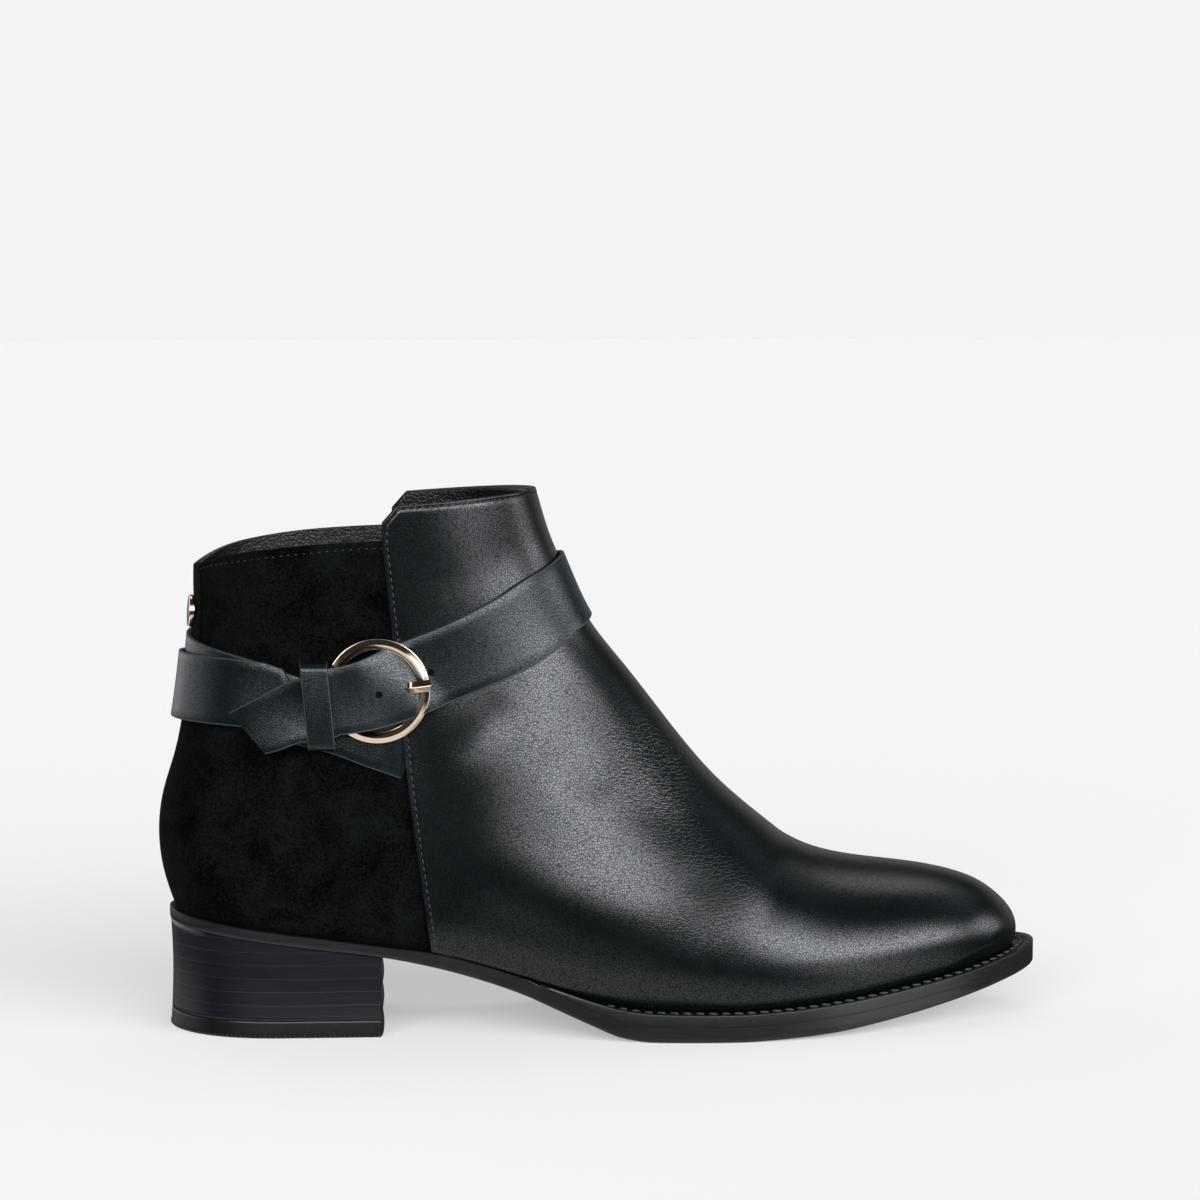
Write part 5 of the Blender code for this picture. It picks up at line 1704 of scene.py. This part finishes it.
ring_turns = np.radians(np.sort(ring_turns))
ring_rings = []
for angle in ring_turns:
    height = RING_SECTION["height"].copy()
    if abs(math.degrees(angle) - NOTCH_TURN) < NOTCH_HALF:
        height = np.minimum(height, RING_RIDGE - NOTCH_DEPTH)
    radius = RING_SECTION["radius"]
    ring_rings.append(on_buckle(radius * math.cos(angle), radius * math.sin(angle), RING_LIFT + height))
ring_rings.append(ring_rings[0])
buckle_ring = add_piece("buckle_ring_gold", *loft(np.array(ring_rings), caps=False), gold, sharp=14.0)
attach(buckle_ring, "root")
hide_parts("buckle_ring")

# Prong: a short bar cast of the same gold-plated zinc, with a ridge along its middle and a rounded inner end.
# It comes out through a hole of the wrap strap and rests in the frame's notch.
PRONG_INNER = 8.6
PRONG_WIDE = 3.5
PRONG_THICK = 1.9
PRONG_SEAT = 0.6
PRONG_TIP_RISE = 0.4
prong_low = RING_LIFT + 0.5 * RING_THICK + GAP - PRONG_SEAT
prong_slope = math.tan(math.radians(NOTCH_TURN))
PRONG = table(
    "ahead out half",
    [
        (RING_OUTER + 0.25, 0.0, 0.86),
        (RING_OUTER + 0.1, 0.0, 0.97),
        (RING_OUTER - 0.3, 0.0, 1.0),
        (RING_INNER - 0.6, 0.0, 1.0),
        (PRONG_INNER + 1.75, -0.5, 1.0),
        (PRONG_INNER + 1.2, -0.6, 0.95),
        (PRONG_INNER + 0.7, -0.7, 0.8),
        (PRONG_INNER + 0.32, -0.8, 0.58),
        (PRONG_INNER + 0.08, -0.9, 0.3),
    ],
)
# The bar in section: share of the half width, share of the thickness.
PRONG_SECTION = table(
    "wide rise",
    [
        (-1.0, 0.0),
        (-1.0, 0.06),
        (-0.95, 0.1),
        (-0.06, 0.98),
        (0.0, 1.0),
        (0.06, 0.98),
        (0.95, 0.1),
        (1.0, 0.06),
        (1.0, 0.0),
    ],
)
prong_rings = []
for ahead, out, half in zip(*PRONG.values()):
    up = 0.5 * PRONG_WIDE * half * PRONG_SECTION["wide"]
    rise = PRONG_THICK * PRONG_SECTION["rise"] * (PRONG_TIP_RISE + (1.0 - PRONG_TIP_RISE) * half)
    prong_rings.append(on_buckle(ahead, up + ahead * prong_slope, prong_low + out + rise))
buckle_prong = add_piece("buckle_prong_gold", *loft(np.array(prong_rings)), gold, sharp=16.0)
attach(buckle_prong, "root")
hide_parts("buckle_prong")

# Stud: a plain round disc of the same gold-plated zinc, with a bevelled rim and a bare face.
# Its shank is riveted through the back stay just under the collar.
STUD_TURN = 176.5
STUD_SECTION = table(
    "radius height",
    [
        (0.0, -0.6),
        (2.4, -0.6),
        (2.4, -0.1),
        (4.6, -0.1),
        (4.85, 0.0),
        (4.9, 0.2),
        (4.9, 1.25),
        (4.82, 1.5),
        (4.6, 1.66),
        (4.2, 1.74),
        (3.9, 1.7),
        (3.0, 1.74),
        (1.5, 1.78),
        (0.0, 1.8),
    ],
)
stud_base, stud_out = ankle_place(STUD_TURN, STUD_Z, 0.0)
stud_up = np.array([0.0, 0.0, 1.0]) - stud_out * stud_out[2]
stud_up /= np.linalg.norm(stud_up)
stud_side = np.cross(stud_out, stud_up)
stud_rings = []
for angle in np.linspace(0.0, 2.0 * math.pi, 73):
    spoke = stud_up * math.cos(angle) + stud_side * math.sin(angle)
    profile = np.outer(STUD_SECTION["radius"], spoke) + np.outer(STUD_SECTION["height"], stud_out)
    stud_rings.append(stud_base + profile)
stud_grid = np.array(stud_rings)
back_stud = add_piece(
    "back_stud_gold", stud_grid.reshape(-1, 3), grid_faces(*stud_grid.shape[:2]), gold, sharp=40.0
)
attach(back_stud, "root")
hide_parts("back_stud")

# Studio: a plain pale floor that runs out of sight, a dark surround with soft bright panels, and the camera
# at the photograph's angle. The camera sees the backdrop in one plain tone.
PAPER = 0.896
FLOOR_REACH = 6.0
FLOOR_GLOW = 0.36
floor_mesh = bpy.data.meshes.new("floor")
floor_corners = [(FLOOR_REACH * x, FLOOR_REACH * y, 0.0) for x, y in ((-1, -1), (1, -1), (1, 1), (-1, 1))]
floor_mesh.from_pydata(floor_corners, [], [(0, 1, 2, 3)])
floor = bpy.data.objects.new("floor", floor_mesh)
bpy.context.scene.collection.objects.link(floor)
paper, _, paper_shader = finish("pale_floor", (0.545, 0.53, 0.503), 0.9, specular=0.0)
paper_shader.inputs["Emission Color"].default_value = (*WHITE, 1.0)
paper_shader.inputs["Emission Strength"].default_value = FLOOR_GLOW
floor.data.materials.append(paper)
floor.visible_glossy = False

world = bpy.data.worlds.new("studio")
bpy.context.scene.world = world
world.use_nodes = True
tree = world.node_tree
tree.nodes.clear()
place = tree.nodes.new("ShaderNodeTexCoord")
axes = tree.nodes.new("ShaderNodeSeparateXYZ")
tree.links.new(place.outputs["Generated"], axes.inputs["Vector"])
frontward = math_node(tree, "MULTIPLY", axes.outputs["Y"], -1.0)
turn_to_toe = math_node(tree, "ARCTAN2", axes.outputs["X"], frontward)
elevation = math_node(tree, "ARCSINE", axes.outputs["Z"], 0.0)


def window(value, low, high, soft_low, soft_high):
    """One inside two angles in degrees, falling softly to nothing outside them."""
    rise = spread(tree, value, np.radians([low - soft_low, low + soft_low]), (0.0, 1.0), "SMOOTHSTEP")
    fall = spread(tree, value, np.radians([high - soft_high, high + soft_high]), (1.0, 0.0), "SMOOTHSTEP")
    return math_node(tree, "MULTIPLY", rise, fall)


# Each panel: turn from the front towards the toe, and elevation, in degrees, with soft edges, and brightness.
PANELS = table(
    "turn_low turn_high turn_soft low high low_soft high_soft power",
    [
        (-42.0, 70.0, 12.0, 10.5, 33.0, 7.0, 13.0, 9.2),
        (84.0, 106.0, 12.0, 8.5, 23.0, 6.0, 9.0, 5.0),
        (92.0, 134.0, 12.0, 36.0, 54.0, 8.0, 8.0, 0.3),
        (128.0, 178.0, 14.0, -4.0, 20.0, 8.0, 8.0, 0.22),
        (34.0, 52.0, 8.0, -14.0, 10.0, 6.0, 6.0, 2.2),
        (44.0, 66.0, 8.0, -27.0, -10.0, 6.0, 6.0, 1.3),
        (-190.0, 190.0, 1.0, -100.0, -26.0, 1.0, 9.0, 0.85),
        (132.0, 181.0, 14.0, 44.0, 78.0, 8.0, 9.0, 1.5),
        (-181.0, -150.0, 14.0, 44.0, 78.0, 8.0, 9.0, 1.5),
        (-160.0, -85.0, 20.0, -6.0, 34.0, 8.0, 8.0, 1.2),
    ],
)
SURROUND = 0.03
glow = SURROUND
for turn_low, turn_high, turn_soft, low, high, low_soft, high_soft, power in zip(*PANELS.values()):
    wide = window(turn_to_toe, turn_low, turn_high, turn_soft, turn_soft)
    tall = window(elevation, low, high, low_soft, high_soft)
    panel = math_node(tree, "MULTIPLY", wide, tall)
    glow = math_node(tree, "ADD", math_node(tree, "MULTIPLY", panel, power), glow)
lit = tree.nodes.new("ShaderNodeBackground")
lit.inputs["Color"].default_value = (0.95, 0.98, 1.03, 1.0)
tree.links.new(glow, lit.inputs["Strength"])
plain = tree.nodes.new("ShaderNodeBackground")
plain.inputs["Color"].default_value = (PAPER, PAPER, PAPER, 1.0)
seen = tree.nodes.new("ShaderNodeLightPath")
pick = tree.nodes.new("ShaderNodeMixShader")
out = tree.nodes.new("ShaderNodeOutputWorld")
tree.links.new(seen.outputs["Is Camera Ray"], pick.inputs["Fac"])
tree.links.new(lit.outputs["Background"], pick.inputs[1])
tree.links.new(plain.outputs["Background"], pick.inputs[2])
tree.links.new(pick.outputs["Shader"], out.inputs["Surface"])
bpy.context.scene.view_settings.view_transform = "Standard"

CAMERA_TURN = math.radians(4.0)
CAMERA_DOWN = math.radians(5.7)
CAMERA_AWAY = 1.25
CAMERA_LENS = 121.2
CAMERA_SENSOR = 36.0
CAMERA_AIM = (np.array([136.3, 0.0, 130.2]) + LAST_TO_FRAME) * MM
view_ahead = Vector(
    (
        math.sin(CAMERA_TURN) * math.cos(CAMERA_DOWN),
        math.cos(CAMERA_TURN) * math.cos(CAMERA_DOWN),
        -math.sin(CAMERA_DOWN),
    )
)
camera_data = bpy.data.cameras.new("camera")
camera_data.lens = CAMERA_LENS
camera_data.sensor_width = CAMERA_SENSOR
camera_data.clip_start = 0.01
camera_data.clip_end = 50.0
camera = bpy.data.objects.new("camera", camera_data)
camera.location = Vector(CAMERA_AIM) - view_ahead * CAMERA_AWAY
camera.rotation_mode = "QUATERNION"
camera.rotation_quaternion = view_ahead.to_track_quat("-Z", "Y")
bpy.context.scene.collection.objects.link(camera)
bpy.context.scene.camera = camera
